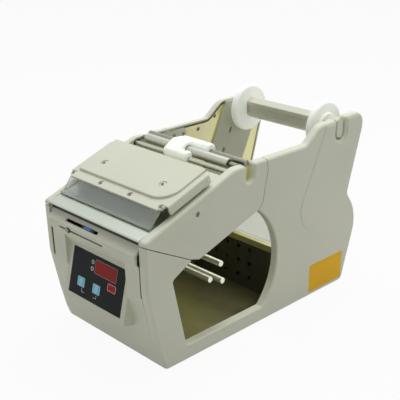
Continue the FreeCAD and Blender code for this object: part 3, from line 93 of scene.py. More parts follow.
def blendColour(tree, factor, first, second):
    made = tree.nodes.new("ShaderNodeMix")
    made.data_type = "RGBA"
    tree.links.new(factor, made.inputs["Factor"])
    tree.links.new(first, made.inputs["A"])
    tree.links.new(second, made.inputs["B"])
    return made.outputs["Result"]


def arithmetic(tree, kind, first, second):
    made = tree.nodes.new("ShaderNodeMath")
    made.operation = kind
    for index, number in enumerate((first, second)):
        if isinstance(number, (int, float)):
            made.inputs[index].default_value = number
        else:
            tree.links.new(number, made.inputs[index])
    return made.outputs[0]


def stretched(tree, coordinate, amounts):
    made = tree.nodes.new("ShaderNodeMapping")
    made.inputs["Scale"].default_value = amounts
    tree.links.new(coordinate, made.inputs["Vector"])
    return made.outputs["Vector"]


# Spark-eroded texture of a moulding, with slow drifts of shade
def makeMouldGrain():
    group, given, result = startGroup("mould grain", [
        ("Colour", "NodeSocketColor", (0.6, 0.6, 0.5, 1)),
        ("Shade", "NodeSocketColor", (0.5, 0.5, 0.4, 1)),
        ("Grain Scale", "NodeSocketFloat", 1800.0),
        ("Low Roughness", "NodeSocketFloat", 0.4),
        ("High Roughness", "NodeSocketFloat", 0.55)],
        [("Color", "NodeSocketColor"), ("Roughness", "NodeSocketFloat"), ("Height", "NodeSocketFloat")])
    where = objectPoint(group)
    grain = noise(group, 1800.0, 3.0, 0.6, where)
    group.links.new(given.outputs["Grain Scale"], grain.inputs["Scale"])
    drift = noise(group, 14.0, 3.0, 0.5, where)
    speck = noise(group, 420.0, 2.0, 0.5, where)
    slow = remap(group, drift.outputs["Fac"], 0.35, 0.68, 0.0, 0.75)
    fine = remap(group, speck.outputs["Fac"], 0.35, 0.65, 0.0, 0.25)
    shade = arithmetic(group, "ADD", slow, fine)
    colour = blendColour(group, shade, given.outputs["Colour"], given.outputs["Shade"])
    rough = remap(group, speck.outputs["Fac"], 0.3, 0.7, given.outputs["Low Roughness"],
                  given.outputs["High Roughness"])
    return deliver(group, result, {"Color": colour, "Roughness": rough, "Height": grain.outputs["Fac"]})


# Long fine lines along one axis, as rolled, ground or brushed metal shows
def makeBrushLines():
    group, given, result = startGroup("brush lines", [
        ("Colour", "NodeSocketColor", (0.7, 0.7, 0.7, 1)),
        ("Streak", "NodeSocketColor", (0.5, 0.5, 0.5, 1)),
        ("Stretch", "NodeSocketVector", (4.0, 900.0, 900.0)),
        ("Low Roughness", "NodeSocketFloat", 0.2),
        ("High Roughness", "NodeSocketFloat", 0.4)],
        [("Color", "NodeSocketColor"), ("Roughness", "NodeSocketFloat"), ("Height", "NodeSocketFloat")])
    where = objectPoint(group)
    spread = group.nodes.new("ShaderNodeVectorMath")
    spread.operation = "MULTIPLY"
    group.links.new(where, spread.inputs[0])
    group.links.new(given.outputs["Stretch"], spread.inputs[1])
    lines = noise(group, 1.0, 4.0, 0.6, spread.outputs["Vector"])
    cloud = noise(group, 22.0, 2.0, 0.5, where)
    mask = remap(group, lines.outputs["Fac"], 0.35, 0.7, 0.0, 0.8)
    mask = arithmetic(group, "MULTIPLY", mask, remap(group, cloud.outputs["Fac"], 0.3, 0.7, 0.55, 1.0))
    colour = blendColour(group, mask, given.outputs["Colour"], given.outputs["Streak"])
    rough = remap(group, lines.outputs["Fac"], 0.3, 0.7, given.outputs["Low Roughness"],
                  given.outputs["High Roughness"])
    return deliver(group, result, {"Color": colour, "Roughness": rough, "Height": lines.outputs["Fac"]})


# Passivated zinc: yellow that drifts to green and violet in broad clouds
def makeChromateTint():
    group, given, result = startGroup("chromate tint", [
        ("Yellow", "NodeSocketColor", (0.6, 0.55, 0.25, 1)),
        ("Green", "NodeSocketColor", (0.5, 0.6, 0.4, 1)),
        ("Violet", "NodeSocketColor", (0.5, 0.42, 0.5, 1)),
        ("Cloud Scale", "NodeSocketFloat", 9.0)],
        [("Color", "NodeSocketColor"), ("Roughness", "NodeSocketFloat"), ("Height", "NodeSocketFloat")])
    where = objectPoint(group)
    broad = noise(group, 9.0, 2.0, 0.5, where)
    broad.inputs["Distortion"].default_value = 0.8
    group.links.new(given.outputs["Cloud Scale"], broad.inputs["Scale"])
    other = noise(group, 21.0, 3.0, 0.5, stretched(group, where, (1.0, 1.0, 0.6)))
    streaks = noise(group, 60.0, 4.0, 0.6, stretched(group, where, (1.0, 1.0, 14.0)))
    greenMask = remap(group, broad.outputs["Fac"], 0.5, 0.72, 0.0, 0.85)
    violetMask = remap(group, other.outputs["Fac"], 0.56, 0.78, 0.0, 0.7)
    colour = blendColour(group, greenMask, given.outputs["Yellow"], given.outputs["Green"])
    colour = blendColour(group, violetMask, colour, given.outputs["Violet"])
    rough = remap(group, streaks.outputs["Fac"], 0.3, 0.7, 0.3, 0.38)
    return deliver(group, result, {"Color": colour, "Roughness": rough, "Height": streaks.outputs["Fac"]})


# Faint smears and dust on a glossy film, as a roughness that varies
def makeSmears():
    group, given, result = startGroup("smears", [
        ("Clean Roughness", "NodeSocketFloat", 0.12),
        ("Smeared Roughness", "NodeSocketFloat", 0.35),
        ("Scale", "NodeSocketFloat", 35.0)],
        [("Roughness", "NodeSocketFloat"), ("Height", "NodeSocketFloat")])
    where = objectPoint(group)
    smear = noise(group, 35.0, 5.0, 0.62, stretched(group, where, (1.0, 1.0, 0.45)))
    group.links.new(given.outputs["Scale"], smear.inputs["Scale"])
    film = noise(group, 1500.0, 2.0, 0.5, where)
    rough = remap(group, smear.outputs["Fac"], 0.4, 0.7, given.outputs["Clean Roughness"],
                  given.outputs["Smeared Roughness"])
    return deliver(group, result, {"Roughness": rough, "Height": film.outputs["Fac"]})


mouldGrain = makeMouldGrain()
brushLines = makeBrushLines()
chromateTint = makeChromateTint()
smears = makeSmears()
bumpDistance = 0.00005
print("shader groups built")


def finish(name, group, values, bump=0.1, **sockets):
    made = bpy.data.materials.new(name)
    made.use_nodes = True
    tree = made.node_tree
    shader = tree.nodes["Principled BSDF"]
    for label, number in sockets.items():
        shader.inputs[label.replace("_", " ")].default_value = number
    effect = tree.nodes.new("ShaderNodeGroup")
    effect.node_tree = group
    for label, number in values.items():
        effect.inputs[label].default_value = number
    for output, target in (("Color", "Base Color"), ("Roughness", "Roughness")):
        if output in effect.outputs:
            tree.links.new(effect.outputs[output], shader.inputs[target])
    if bump > 0:
        relief = tree.nodes.new("ShaderNodeBump")
        relief.inputs["Strength"].default_value = bump
        relief.inputs["Distance"].default_value = bumpDistance
        tree.links.new(effect.outputs["Height"], relief.inputs["Height"])
        tree.links.new(relief.outputs["Normal"], shader.inputs["Normal"])
    return made


def moulded(name, colour, shade, low=0.4, high=0.55, grain=1800.0, bump=0.25, **sockets):
    return finish(name, mouldGrain, {"Colour": colour, "Shade": shade, "Low Roughness": low,
                                     "High Roughness": high, "Grain Scale": grain}, bump, **sockets)


def brushed(name, colour, streak, stretch, low=0.2, high=0.4, bump=0.08, **sockets):
    return finish(name, brushLines, {"Colour": colour, "Streak": streak, "Stretch": stretch,
                                     "Low Roughness": low, "High Roughness": high}, bump, Metallic=1.0,
                  **sockets)


def plated(name, yellow, green, violet, clouds=9.0, metallic=0.8):
    return finish(name, chromateTint, {"Yellow": yellow, "Green": green, "Violet": violet,
                                       "Cloud Scale": clouds}, 0.05, Metallic=metallic)


def glossy(name, clean, smeared, scale, bump, **sockets):
    return finish(name, smears, {"Clean Roughness": clean, "Smeared Roughness": smeared, "Scale": scale}, bump,
                  **sockets)


finishes = {
    "beigeCasing": moulded("beige casing", tint(216, 218, 199), tint(211, 213, 194), 0.4, 0.52),
    # painted shade: the casing's beige darkened for the bar channels' inner faces, which lie in shadow
    "shadedBeige": moulded("beige with painted shade", tint(196, 198, 180), tint(191, 193, 175), 0.44, 0.56),
    # painted glow: the white nylon also emits a little light so that the discs and the label guide read
    # brighter
    "glowingNylon": moulded("white nylon with painted glow", tint(248, 251, 244), tint(243, 247, 239), 0.4, 0.52, 900.0, 0.12,
                          Emission_Color=tint(248, 251, 244), Emission_Strength=0.18),
    "blackPlastic": moulded("black plastic", tint(34, 35, 35), tint(26, 27, 27), 0.35, 0.5),
    "blackNylon": moulded("black nylon", tint(44, 44, 43), tint(34, 34, 33), 0.45, 0.6),
    "rubber": moulded("black rubber", tint(38, 38, 37), tint(28, 28, 28), 0.62, 0.8, 1100.0, 0.4),
    "trimmerBlue": moulded("trimmer blue", tint(44, 138, 216), tint(36, 124, 204), 0.3, 0.4),
    "keyBlue": moulded("key blue", tint(96, 216, 255), tint(88, 206, 250), 0.4, 0.5, 1400.0, 0.1,
                       Specular_IOR_Level=0.2),
    "keyRed": moulded("key red", tint(176, 30, 34), tint(164, 24, 28), 0.4, 0.5, 1400.0, 0.1,
                      Specular_IOR_Level=0.15),
    "lampDark": moulded("unlit lamp", tint(66, 50, 48), tint(58, 44, 42), 0.3, 0.4, 1400.0, 0.1),
    # painted shade: a dark colour laid where screw crosses, slits, gaps and edges fall into shadow
    "paintedShade": moulded("painted shade", tint(40, 38, 30), tint(34, 32, 26), 0.6, 0.7, 900.0, 0.1),
    # painted shade: a dark line around the lid screws' seats, where the crease is in shadow
    "seatShade": moulded("painted seat shade", tint(86, 84, 72), tint(78, 76, 64), 0.6, 0.7, 900.0, 0.1),
    "boardGreen": moulded("board green", tint(30, 96, 58), tint(24, 80, 48), 0.25, 0.4),
    # painted shade: the rear box panel and rear panel darkened to the dark olive of zinc plate standing in
    # shadow
    "shadedPanel": moulded("panel with painted shade", tint(50, 51, 38), tint(42, 43, 32), 0.42, 0.58, 900.0, 0.15),
    "printWhite": moulded("white print", tint(214, 216, 214), tint(204, 206, 204), 0.4, 0.5),
    "rimGrey": moulded("grey rim print", tint(150, 138, 134), tint(142, 130, 126), 0.4, 0.5),
    "borderBlue": moulded("blue border print", tint(92, 98, 126), tint(84, 90, 118), 0.5, 0.6),
    "amberFilm": moulded("amber film", tint(244, 190, 14), tint(238, 182, 10), 0.4, 0.5, 500.0, 0.06,
                         Specular_IOR_Level=0.2),
    # painted shade: the paper darkened to the shadow it lies in
    "shadedPaper": moulded("paper with painted shade", tint(216, 218, 211), tint(208, 210, 203), 0.6, 0.75, 700.0, 0.2),
    "yellowZinc": plated("yellow zinc", tint(224, 220, 164), tint(216, 220, 170), tint(198, 184, 196)),
    # painted shade: the yellow zinc darkened for the rear box's top
    "shadedLedgeZinc": plated("ledge zinc with painted shade", tint(200, 197, 147), tint(193, 197, 152), tint(177, 165, 175)),
    # painted shade: the yellow zinc darkened for the base plate, which lies in shadow in the bay
    "floorZinc": plated("shaded zinc", tint(130, 126, 88), tint(114, 116, 84), tint(106, 95, 88), 12.0, 0.85),
    "greyZinc": brushed("grey zinc", tint(190, 192, 180), tint(178, 180, 168), (50.0, 50.0, 50.0), 0.34, 0.44,
                        0.03),
    "stainless": brushed("stainless", tint(188, 194, 183), tint(180, 186, 175), (420.0, 6.0, 6.0), 0.35, 0.4,
                         0.01),
    "chromeRod": brushed("ground chrome", tint(186, 188, 176), tint(180, 182, 170), (240.0, 8.0, 8.0), 0.24,
                         0.28, 0.0),
    "dullRod": brushed("dull rod", tint(146, 148, 136), tint(138, 140, 128), (240.0, 8.0, 8.0), 0.3, 0.34, 0.0),
    "satinRod": brushed("satin rod", tint(232, 233, 216), tint(228, 229, 212), (240.0, 8.0, 8.0), 0.42, 0.46,
                        0.0),
    "aluminium": brushed("turned aluminium", tint(184, 186, 174), tint(176, 178, 166), (320.0, 10.0, 10.0),
                         0.38, 0.45, 0.02),
    "screwSteel": brushed("screw steel", tint(138, 136, 124), tint(104, 102, 92), (300.0, 300.0, 300.0), 0.24,
                          0.34),
    "motorSteel": brushed("motor steel", tint(168, 168, 166), tint(140, 140, 138), (6.0, 500.0, 500.0), 0.3,
                          0.45),
    "brass": brushed("brass", tint(196, 164, 96), tint(170, 138, 74), (900.0, 20.0, 20.0), 0.25, 0.4),
    "membraneBlack": glossy("membrane film", 0.32, 0.44, 40.0, 0.03, Base_Color=tint(24, 28, 28),
                            Specular_IOR_Level=0.1),
    "windowRed": glossy("red window", 0.16, 0.28, 60.0, 0.02, Base_Color=tint(150, 40, 36),
                        Specular_IOR_Level=0.1),
    "clearSheet": glossy("clear sheet", 0.0, 0.1, 30.0, 0.0, Base_Color=tint(216, 222, 215),
                         Transmission_Weight=0.76, IOR=1.46),
}

nodeFinishes = {
    "beigeCasing": ["right_cover", "left_cover", "upper_casing", "front_fascia", "lid_cover", "roll_bar"],
    "shadedBeige": ["right_bar_channel", "left_bar_channel"],
    "yellowZinc": ["right_side_plate", "left_side_plate"],
    "shadedLedgeZinc": ["rear_box_top"],
    "floorZinc": ["base_plate"],
    "greyZinc": ["right_rod_bracket", "left_rod_bracket", "bulkhead"],
    "shadedPanel": ["rear_box_panel", "rear_panel"],
    "rubber": ["rubber_feet", "takeup_belt", "feed_belt", "feed_sleeve", "pinch_roller"],
    "blackPlastic": ["power_inlet", "power_rocker"],
    "membraneBlack": ["membrane_panel"],
    "windowRed": ["display_window"],
    "lampDark": ["indicator_lamps"],
    "boardGreen": ["circuit_board", "power_board"],
    "keyBlue": ["up_key", "down_key"],
    "keyRed": ["reset_key"],
    "satinRod": ["spindle_rods"],
    "dullRod": ["rear_guide_rod", "idler_shaft", "sensor_lock_screw"],
    "chromeRod": ["front_guide_rod", "sensor_rail", "takeup_shaft", "feed_shaft", "lid_hinge_pins"],
    "blackNylon": ["sensor_carriage", "takeup_pulley", "takeup_motor_pulley", "feed_motor_pulley",
                   "roller_blocks"],
    "trimmerBlue": ["sensor_trimmer"],
    "screwSteel": ["lid_screws", "cover_screws", "bracket_screws"],
    "stainless": ["peel_plate"],
    "clearSheet": ["lid_clear_plate"],
    "aluminium": ["idler_tube", "takeup_hub"],
    "glowingNylon": ["label_guide", "left_disc", "right_disc"],
    "brass": ["takeup_bush"],
    "motorSteel": ["takeup_motor", "feed_motor"],
}
for finishName, members in nodeFinishes.items():
    for member in members:
        mesh = nodes[member].data
        mesh.materials.clear()
        mesh.materials.append(finishes[finishName])
unpainted = set(nodes) - {member for members in nodeFinishes.values() for member in members}
print("finishes set, parts left plain:", sorted(unpainted))


def roundedRect(width, height, radius, steps=6):
    points = []
    for cornerX, cornerY, start in ((1, 1, 0), (-1, 1, 90), (-1, -1, 180), (1, -1, 270)):
        for step in range(steps + 1):
            angle = math.radians(start + 90 * step / steps)
            points.append((cornerX * (width / 2 - radius) + radius * math.cos(angle),
                           cornerY * (height / 2 - radius) + radius * math.sin(angle)))
    return points


def flatPiece(name, loops, thickness, where, finishName, bevel=0.0):
    # Each loop is an outline in mm; the matrix takes its x and y to the surface and z out of it.
    mesh = bmesh.new()
    for loop in loops:
        face = mesh.faces.new([mesh.verts.new((x * mm, y * mm, 0)) for x, y in loop])
        raised = bmesh.ops.extrude_face_region(mesh, geom=[face])
        top = [item for item in raised["geom"] if isinstance(item, bmesh.types.BMVert)]
        bmesh.ops.translate(mesh, vec=(0, 0, thickness * mm), verts=top)
        if bevel > 0:
            rim = [edge for edge in mesh.edges if all(vert in top for vert in edge.verts)]
            bmesh.ops.bevel(mesh, geom=rim, offset=bevel * mm, segments=2, affect="EDGES")
    bmesh.ops.recalc_face_normals(mesh, faces=mesh.faces)
    return meshPiece(name, mesh, where, finishName)


def bands(name, pairs, thickness, where, finishName):
    # Closed strips, each between two outlines of as many points, raised out of their surface.
    mesh = bmesh.new()
    for outer, inner in pairs:
        count = len(outer)
        rings = [[mesh.verts.new((x * mm, y * mm, height * mm)) for x, y in loop]
                 for loop, height in ((inner, 0), (inner, thickness), (outer, thickness), (outer, 0))]
        for low, high in zip(rings, rings[1:] + rings[:1]):
            for step in range(count):
                after = (step + 1) % count
                mesh.faces.new((low[step], low[after], high[after], high[step]))
    bmesh.ops.recalc_face_normals(mesh, faces=mesh.faces)
    return meshPiece(name, mesh, where, finishName)


def turned(name, profile, where, finishName, steps=32):
    # Revolves a profile of (radius, height) pairs in mm.
    mesh = bmesh.new()
    rings = []
    for radius, height in profile:
        if radius == 0:
            rings.append([mesh.verts.new((0, 0, height * mm))] * steps)
        else:
            points = circle(radius, steps=steps)
            rings.append([mesh.verts.new((x * mm, y * mm, height * mm)) for x, y in points])
    for low, high in zip(rings, rings[1:]):
        for step in range(steps):
            after = (step + 1) % steps
            corners = dict.fromkeys((low[step], low[after], high[after], high[step]))
            mesh.faces.new(list(corners))
    bmesh.ops.recalc_face_normals(mesh, faces=mesh.faces)
    return meshPiece(name, mesh, where, finishName)


def circle(radius, x=0.0, y=0.0, steps=32):
    angles = [2 * math.pi * step / steps for step in range(steps)]
    return [(x + radius * math.cos(angle), y + radius * math.sin(angle)) for angle in angles]


def cross(reach, half, x=0.0, y=0.0):
    quarter = [(reach, -half), (reach, half), (half, half)]
    points = []
    for cosine, sine in ((1, 0), (0, 1), (-1, 0), (0, -1)):
        points += [(x + a * cosine - b * sine, y + a * sine + b * cosine) for a, b in quarter]
    return points


def meshPiece(name, mesh, where, finishName):
    data = bpy.data.meshes.new(name)
    mesh.to_mesh(data)
    mesh.free()
    data.materials.append(finishes[finishName])
    piece = bpy.data.objects.new(name, data)
    bpy.context.scene.collection.objects.link(piece)
    piece.matrix_world = where
    return piece


# The control panel's film leans back; print lies on it and on the keys
panel = {"footBack": -2.3, "footUp": 68.2, "run": 14.0, "rise": 59.5, "filmFront": -0.5, "keyFront": -0.9}


def onPanel(x, up, depth):
    lean = math.atan2(panel["run"], panel["rise"])
    acrossAxis = Vector((1, 0, 0))
    upAxis = Vector((0, math.sin(lean), math.cos(lean)))
    outAxis = Vector((0, -math.cos(lean), math.sin(lean)))
    offset = (acrossAxis * x + upAxis * up - outAxis * depth) * mm
    origin = place(0, panel["footBack"], panel["footUp"]) + offset
    turn = Matrix((acrossAxis, upAxis, outAxis)).transposed().to_4x4()
    return Matrix.Translation(origin) @ turn


printing = {
    "thick": 0.05, "lampX": -11.6, "lampUps": (51.4, 42.6), "lampRing": (2.7, 1.75),
    "keySize": (14.0, 12.4), "resetSize": (16.0, 9.6), "keyGap": 0.1, "keyCorner": 1.6, "rim": 0.6,
    "keys": {"up_key": (-29.0, 19.5), "down_key": (1.8, 19.5), "reset_key": (30.0, 30.4)},
    "arrowHead": ((-4.3, 0.5), (4.3, 0.5), (0, 5.1)), "barLows": (-2.0, -4.8), "barHalf": 2.9, "barHeight": 1.5,
    "window": (-5.9, 35.6, 38.8, 55.7), "windowRim": 0.7, "windowGap": 0.2, "windowCorners": (1.0, 0.4),
    "brackets": (((-26.4, 11.6), (-25.8, 11.6), (-25.8, 7.6), (-20.6, 7.6), (-20.6, 7.0), (-26.4, 7.0)),
                 ((2.6, 11.6), (3.2, 11.6), (3.2, 7.0), (-2.4, 7.0), (-2.4, 7.6), (2.6, 7.6))),
}


def arrow(direction):
    # Solid arrow head with two short bars behind it.
    half, height = printing["barHalf"], printing["barHeight"]
    bars = [((-half, low), (half, low), (half, low + height), (-half, low + height))
            for low in printing["barLows"]]
    return [[(x * direction, y * direction) for x, y in loop] for loop in [printing["arrowHead"]] + bars]


def makeKeyPrint(name, x, up):
    width, height = printing["resetSize"] if name == "reset_key" else printing["keySize"]
    rim = printing["rim"]
    where = onPanel(x, up, panel["keyFront"])
    outer = roundedRect(width - printing["keyGap"], height - printing["keyGap"], printing["keyCorner"])
    inner = roundedRect(width - 2 * rim, height - 2 * rim, printing["keyCorner"] - rim / 2)
    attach(bands(name + "_rim", [(outer, inner)], printing["thick"], where, "printWhite"), name + "_body")
    if name != "reset_key":
        direction = 1 if name == "up_key" else -1
        sign = flatPiece(name + "_arrow", arrow(direction), printing["thick"], where, "printWhite")
        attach(sign, name + "_body")


for name, (x, up) in printing["keys"].items():
    makeKeyPrint(name, x, up)
onFilm = onPanel(0, 0, panel["filmFront"])
lampRings = [[circle(radius, printing["lampX"], up) for radius in printing["lampRing"]]
             for up in printing["lampUps"]]
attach(bands("lamp_rings", lampRings, printing["thick"], onFilm, "printWhite"), "housing")


def makeWindowRim():
    left, right, foot, head = printing["window"]
    width, height, rim, gap = right - left, head - foot, printing["windowRim"], printing["windowGap"]
    outerCorner, innerCorner = printing["windowCorners"]
    outlines = (roundedRect(width + 2 * rim, height + 2 * rim, outerCorner),
                roundedRect(width + gap, height + gap, innerCorner))
    return bands("window_rim", [outlines], printing["thick"],
                 onPanel((left + right) / 2, (foot + head) / 2, panel["filmFront"]), "rimGrey")


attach(makeWindowRim(), "housing")
bracketLines = flatPiece("key_bracket_lines", printing["brackets"], printing["thick"], onFilm, "printWhite")
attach(bracketLines, "housing")
print("panel print made")


# Bare label on the right and bare sheet on the rear box
label = {"front": 304.8, "rear": 380.2, "foot": 7.8, "head": 50.2, "thick": 0.16, "face": 98.9, "corner": 1.5,
         "bevel": 0.04}


def onSide(side, face, back, up):
    # On a side face, with z out of it: side is 1 on the right and -1 on the left.
    turn = Matrix(((0, 0, side), (side, 0, 0), (0, 1, 0))).to_4x4()
    return Matrix.Translation(place(side * face, back, up)) @ turn


def makeLabel():
    width = label["rear"] - label["front"]
    height = label["head"] - label["foot"]
    where = onSide(1, label["face"], (label["front"] + label["rear"]) / 2, (label["foot"] + label["head"]) / 2)
    return flatPiece("amber_label", [roundedRect(width, height, label["corner"])], label["thick"], where,
                     "amberFilm", label["bevel"])


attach(makeLabel(), "housing")

sheet = {
    "left": -71.0, "right": 71.0, "front": 262.5, "rear": 366.0, "top": 86.0, "thick": 0.12, "corner": 0.6,
    "bevel": 0.03, "border": 4.0, "lineWidth": 0.8, "lineThick": 0.03, "cutCorner": 12.0, "cutStep": 0.33,
}


def onSheet(up):
    middle = place((sheet["left"] + sheet["right"]) / 2, (sheet["front"] + sheet["rear"]) / 2, up)
    return Matrix.Translation(middle)


def makeSheet():
    outline = roundedRect(sheet["right"] - sheet["left"], sheet["rear"] - sheet["front"], sheet["corner"])
    return flatPiece("blank_sheet", [outline], sheet["thick"], onSheet(sheet["top"]), "shadedPaper",
                     sheet["bevel"])


def cutRect(inset, cut):
    halfX = (sheet["right"] - sheet["left"]) / 2 - inset
    halfY = (sheet["rear"] - sheet["front"]) / 2 - inset
    return [(halfX, -halfY + cut), (halfX, halfY - cut), (halfX - cut, halfY), (-halfX + cut, halfY),
            (-halfX, halfY - cut), (-halfX, -halfY + cut), (-halfX + cut, -halfY), (halfX - cut, -halfY)]


def makeSheetBorder():
    # Thin printed line inside the sheet's edge, with cut corners.
    inset, cut = sheet["border"], sheet["cutCorner"]
    outlines = (cutRect(inset, cut), cutRect(inset + sheet["lineWidth"], cut - sheet["cutStep"]))
    return bands("sheet_border", [outlines], sheet["lineThick"], onSheet(sheet["top"] + sheet["thick"]),
                 "borderBlue")


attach(makeSheet(), "housing")
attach(makeSheetBorder(), "housing")
print("label and sheet made")


# Set screws of the label guide
setScrews = {
    "profile": ((0, -0.9), (0.85, -0.9), (0.85, -0.02), (1.55, 0.05), (1.7, -0.08), (1.7, -0.7)),
    "places": ((9.0, 148.6, 236.78), (21.0, 176.4, 244.18)),
}
for index, (x, back, up) in enumerate(setScrews["places"]):
    setScrew = turned("guide_set_screw_%d" % (index + 1), setScrews["profile"],
                      Matrix.Translation(place(x, back, up)), "screwSteel")
    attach(setScrew, "label_guide_body")
print("set screws made")


# Painted shade in the screw crosses on the lid and the casing and in rings at the lid screws' seats, and flush
# caps over the covers' screws
lid = {
    "slope": math.atan(0.36), "footUp": 180.0, "arm": 1.86, "half": 0.43, "recessDepth": 0.55,
    "recessLift": 0.21, "rim": 0.5, "seatDrop": 0.5, "seatGap": 0.03, "seatThick": 0.05,
    "lip": {"height": 16.0, "seat": 4.0, "places": ((-84.0, 47.3), (-28.0, 47.3), (28.0, 47.3), (84.0, 47.3))},
    "raised": {"height": 19.0, "seat": 5.2, "places": ((-56.0, 78.3), (56.0, 78.3))},
}
casingScrew = {"back": 83.0, "up": 193.0, "face": 98.21, "arm": 1.9, "half": 0.28, "depth": 0.5}
coverCaps = {
    "profile": ((0, -0.11), (3.38, -0.11), (3.38, -0.03), (3.3, 0), (0, 0)),
    "places": ((1, 99.98, 318.0, 150.0), (1, 99.08, 37.0, 20.0), (-1, 99.98, 318.0, 150.0),
               (-1, 99.08, 37.0, 20.0), (-1, 99.08, 330.0, 22.0)),
}


def onLid(up):
    alongAxis = Vector((0, math.cos(lid["slope"]), math.sin(lid["slope"])))
    outAxis = Vector((0, -math.sin(lid["slope"]), math.cos(lid["slope"])))
    turn = Matrix((Vector((1, 0, 0)), alongAxis, outAxis)).transposed().to_4x4()
    return Matrix.Translation(place(0, 0, lid["footUp"]) + outAxis * up * mm) @ turn


for name in ("lip", "raised"):
    row = lid[name]
    seatUp = row["height"] - lid["seatDrop"]
    crosses = [cross(lid["arm"], lid["half"], x, along) for x, along in row["places"]]
    # painted shade in each lid screw's cross
    cross_shades = flatPiece("lid_%s_recesses" % name, crosses, lid["recessDepth"],
                         onLid(seatUp + lid["recessLift"]), "paintedShade")
    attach(cross_shades, "lid")
    # painted shade in a thin ring at the edge of each lid screw's seat
    rings = [(circle(row["seat"] - lid["seatGap"], x, along), circle(row["seat"] - lid["rim"], x, along))
             for x, along in row["places"]]
    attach(bands("lid_%s_seat_shades" % name, rings, lid["seatThick"], onLid(seatUp), "seatShade"), "lid")
for side, word in ((1, "right"), (-1, "left")):
    where = onSide(side, casingScrew["face"], casingScrew["back"], casingScrew["up"])
    # painted shade in the cross of the casing's screw on each side
    crossShade = flatPiece("casing_%s_recess" % word, [cross(casingScrew["arm"], casingScrew["half"])],
                     casingScrew["depth"], where, "paintedShade")
    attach(crossShade, "housing")
for index, (side, face, back, up) in enumerate(coverCaps["places"]):
    cap = turned("cover_cap_%d" % (index + 1), coverCaps["profile"], onSide(side, face, back, up),
                 "beigeCasing")
    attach(cap, "housing")
print("screw marks and caps made")


# Painted shade in the gaps beside and above the fascia, and painted shade along the front edge of the clear
# plate
shadeSheets = {
    "sheet": 0.1, "corner": 0.4, "wall": -87.98,
    "side": ((3.8, 106.2), (2.3, 146.0), (2.3, 167.8), (14.0, 167.8), (14.0, 106.2)),
    "gap": {"half": 87.2, "back": 6.0, "foot": 171.4, "head": 177.7},
    "edge": {"half": 85.5, "back": 17.99, "foot": 186.45, "head": 187.5},
    "lockShade": {"rings": (3.9, 3.25), "thick": 0.25, "place": (-44.0, -3.15, 154.6)},
}


def onFront(x, back, up):
    # On an upright face that looks to the front, with z out of it.
    turn = Matrix(((1, 0, 0), (0, 0, -1), (0, 1, 0))).to_4x4()
    return Matrix.Translation(place(x, back, up)) @ turn


def makeStrip(name, sizes, finishName):
    height = sizes["head"] - sizes["foot"]
    where = onFront(0, sizes["back"], (sizes["head"] + sizes["foot"]) / 2)
    outline = roundedRect(2 * sizes["half"], height, shadeSheets["corner"])
    return flatPiece(name, [outline], shadeSheets["sheet"], where, finishName)


for side, word in ((1, "left"), (-1, "right")):
    loop = [(side * back, up) for back, up in shadeSheets["side"]]
    slitShade = flatPiece("%s_slit_shade" % word, [loop], shadeSheets["sheet"], onSide(side, shadeSheets["wall"], 0, 0),
                      "paintedShade")
    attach(slitShade, "housing")
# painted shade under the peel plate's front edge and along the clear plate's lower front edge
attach(makeStrip("peel_gap_shade", shadeSheets["gap"], "paintedShade"), "housing")
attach(makeStrip("clear_edge_shade", shadeSheets["edge"], "paintedShade"), "lid")
# painted shade in a ring around the sensor's lock screw
lockShade = bands("lock_screw_shade", [[circle(radius) for radius in shadeSheets["lockShade"]["rings"]]],
                 shadeSheets["lockShade"]["thick"], onFront(*shadeSheets["lockShade"]["place"]), "paintedShade")
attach(lockShade, "sensor")
print("liners made")


# Camera, lamps, white background and a floor that keeps the shadow
studio = {
    "cameraPlace": (0.7341, -0.7388, 0.5567), "cameraTurn": (68.712, 0.022, 45.601),
    "lens": 73.08, "sensorWidth": 36.0, "clipStart": 0.01,
    "ambient": 0.36, "ambientColour": (1, 1, 0.99, 1),
    "floorColour": tint(206, 206, 203), "floorRoughness": 0.8, "floorSize": 6.0, "floorWhite": 0.94,
    "lamps": {
        "overhead softbox": ((-0.2, 0.5, 1.9), (0, 0, 0.1), 1.6, 27.5),
        "front fill": ((0.1, -1.9, 1.0), (0, 0, 0.12), 1.2, 1.6),
        "side fill": ((0.95, 1.0, 0.7), (0.1, 0.2, 0.15), 0.7, 1.8),
    },
}


def makeCamera():
    data = bpy.data.cameras.new("camera")
    data.lens = studio["lens"]
    data.sensor_width = studio["sensorWidth"]
    data.clip_start = studio["clipStart"]
    camera = bpy.data.objects.new("camera", data)
    camera.location = studio["cameraPlace"]
    camera.rotation_euler = [math.radians(angle) for angle in studio["cameraTurn"]]
    bpy.context.scene.collection.objects.link(camera)
    bpy.context.scene.camera = camera


def makeLamp(name, where, aim, size, power):
    data = bpy.data.lights.new(name, "AREA")
    data.shape = "RECTANGLE"
    data.size = size
    data.size_y = size
    data.energy = power
    lamp = bpy.data.objects.new(name, data)
    lamp.location = where
    lamp.rotation_euler = (Vector(aim) - Vector(where)).to_track_quat("-Z", "Y").to_euler()
    bpy.context.scene.collection.objects.link(lamp)


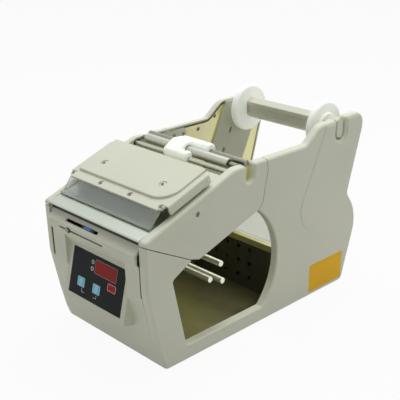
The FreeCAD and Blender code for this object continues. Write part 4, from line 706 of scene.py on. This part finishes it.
def whiteRays(tree):
    # Rays that see the plain white background: camera, glossy and transmission.
    path = tree.nodes.new("ShaderNodeLightPath")
    seen = arithmetic(tree, "MAXIMUM", path.outputs["Is Camera Ray"], path.outputs["Is Transmission Ray"])
    return arithmetic(tree, "MAXIMUM", seen, path.outputs["Is Glossy Ray"])


def makeWorld():
    world = bpy.data.worlds.new("studio")
    bpy.context.scene.world = world
    world.use_nodes = True
    tree = world.node_tree
    tree.nodes.clear()
    seen = whiteRays(tree)
    white = tree.nodes.new("ShaderNodeBackground")
    white.inputs["Color"].default_value = (1, 1, 1, 1)
    soft = tree.nodes.new("ShaderNodeBackground")
    soft.inputs["Color"].default_value = studio["ambientColour"]
    soft.inputs["Strength"].default_value = studio["ambient"]
    choose = tree.nodes.new("ShaderNodeMixShader")
    out = tree.nodes.new("ShaderNodeOutputWorld")
    tree.links.new(seen, choose.inputs["Fac"])
    tree.links.new(soft.outputs[0], choose.inputs[1])
    tree.links.new(white.outputs[0], choose.inputs[2])
    tree.links.new(choose.outputs[0], out.inputs["Surface"])


def makeFloor():
    mesh = bmesh.new()
    bmesh.ops.create_grid(mesh, x_segments=1, y_segments=1, size=studio["floorSize"])
    data = bpy.data.meshes.new("floor")
    mesh.to_mesh(data)
    mesh.free()
    made = bpy.data.materials.new("pale floor")
    made.use_nodes = True
    tree = made.node_tree
    shader = tree.nodes["Principled BSDF"]
    shader.inputs["Base Color"].default_value = studio["floorColour"]
    shader.inputs["Roughness"].default_value = studio["floorRoughness"]
    glow = tree.nodes.new("ShaderNodeEmission")
    glow.inputs["Strength"].default_value = 1.0
    choose = tree.nodes.new("ShaderNodeMixShader")
    seen = whiteRays(tree)
    tree.links.new(arithmetic(tree, "MULTIPLY", seen, studio["floorWhite"]), choose.inputs["Fac"])
    tree.links.new(shader.outputs[0], choose.inputs[1])
    tree.links.new(glow.outputs[0], choose.inputs[2])
    tree.links.new(choose.outputs[0], tree.nodes["Material Output"].inputs["Surface"])
    data.materials.append(made)
    floor = bpy.data.objects.new("floor", data)
    bpy.context.scene.collection.objects.link(floor)


makeCamera()
for name, (where, aim, size, power) in studio["lamps"].items():
    makeLamp(name, where, aim, size, power)
makeWorld()
makeFloor()
bpy.context.scene.view_settings.view_transform = "Standard"
print("studio set")
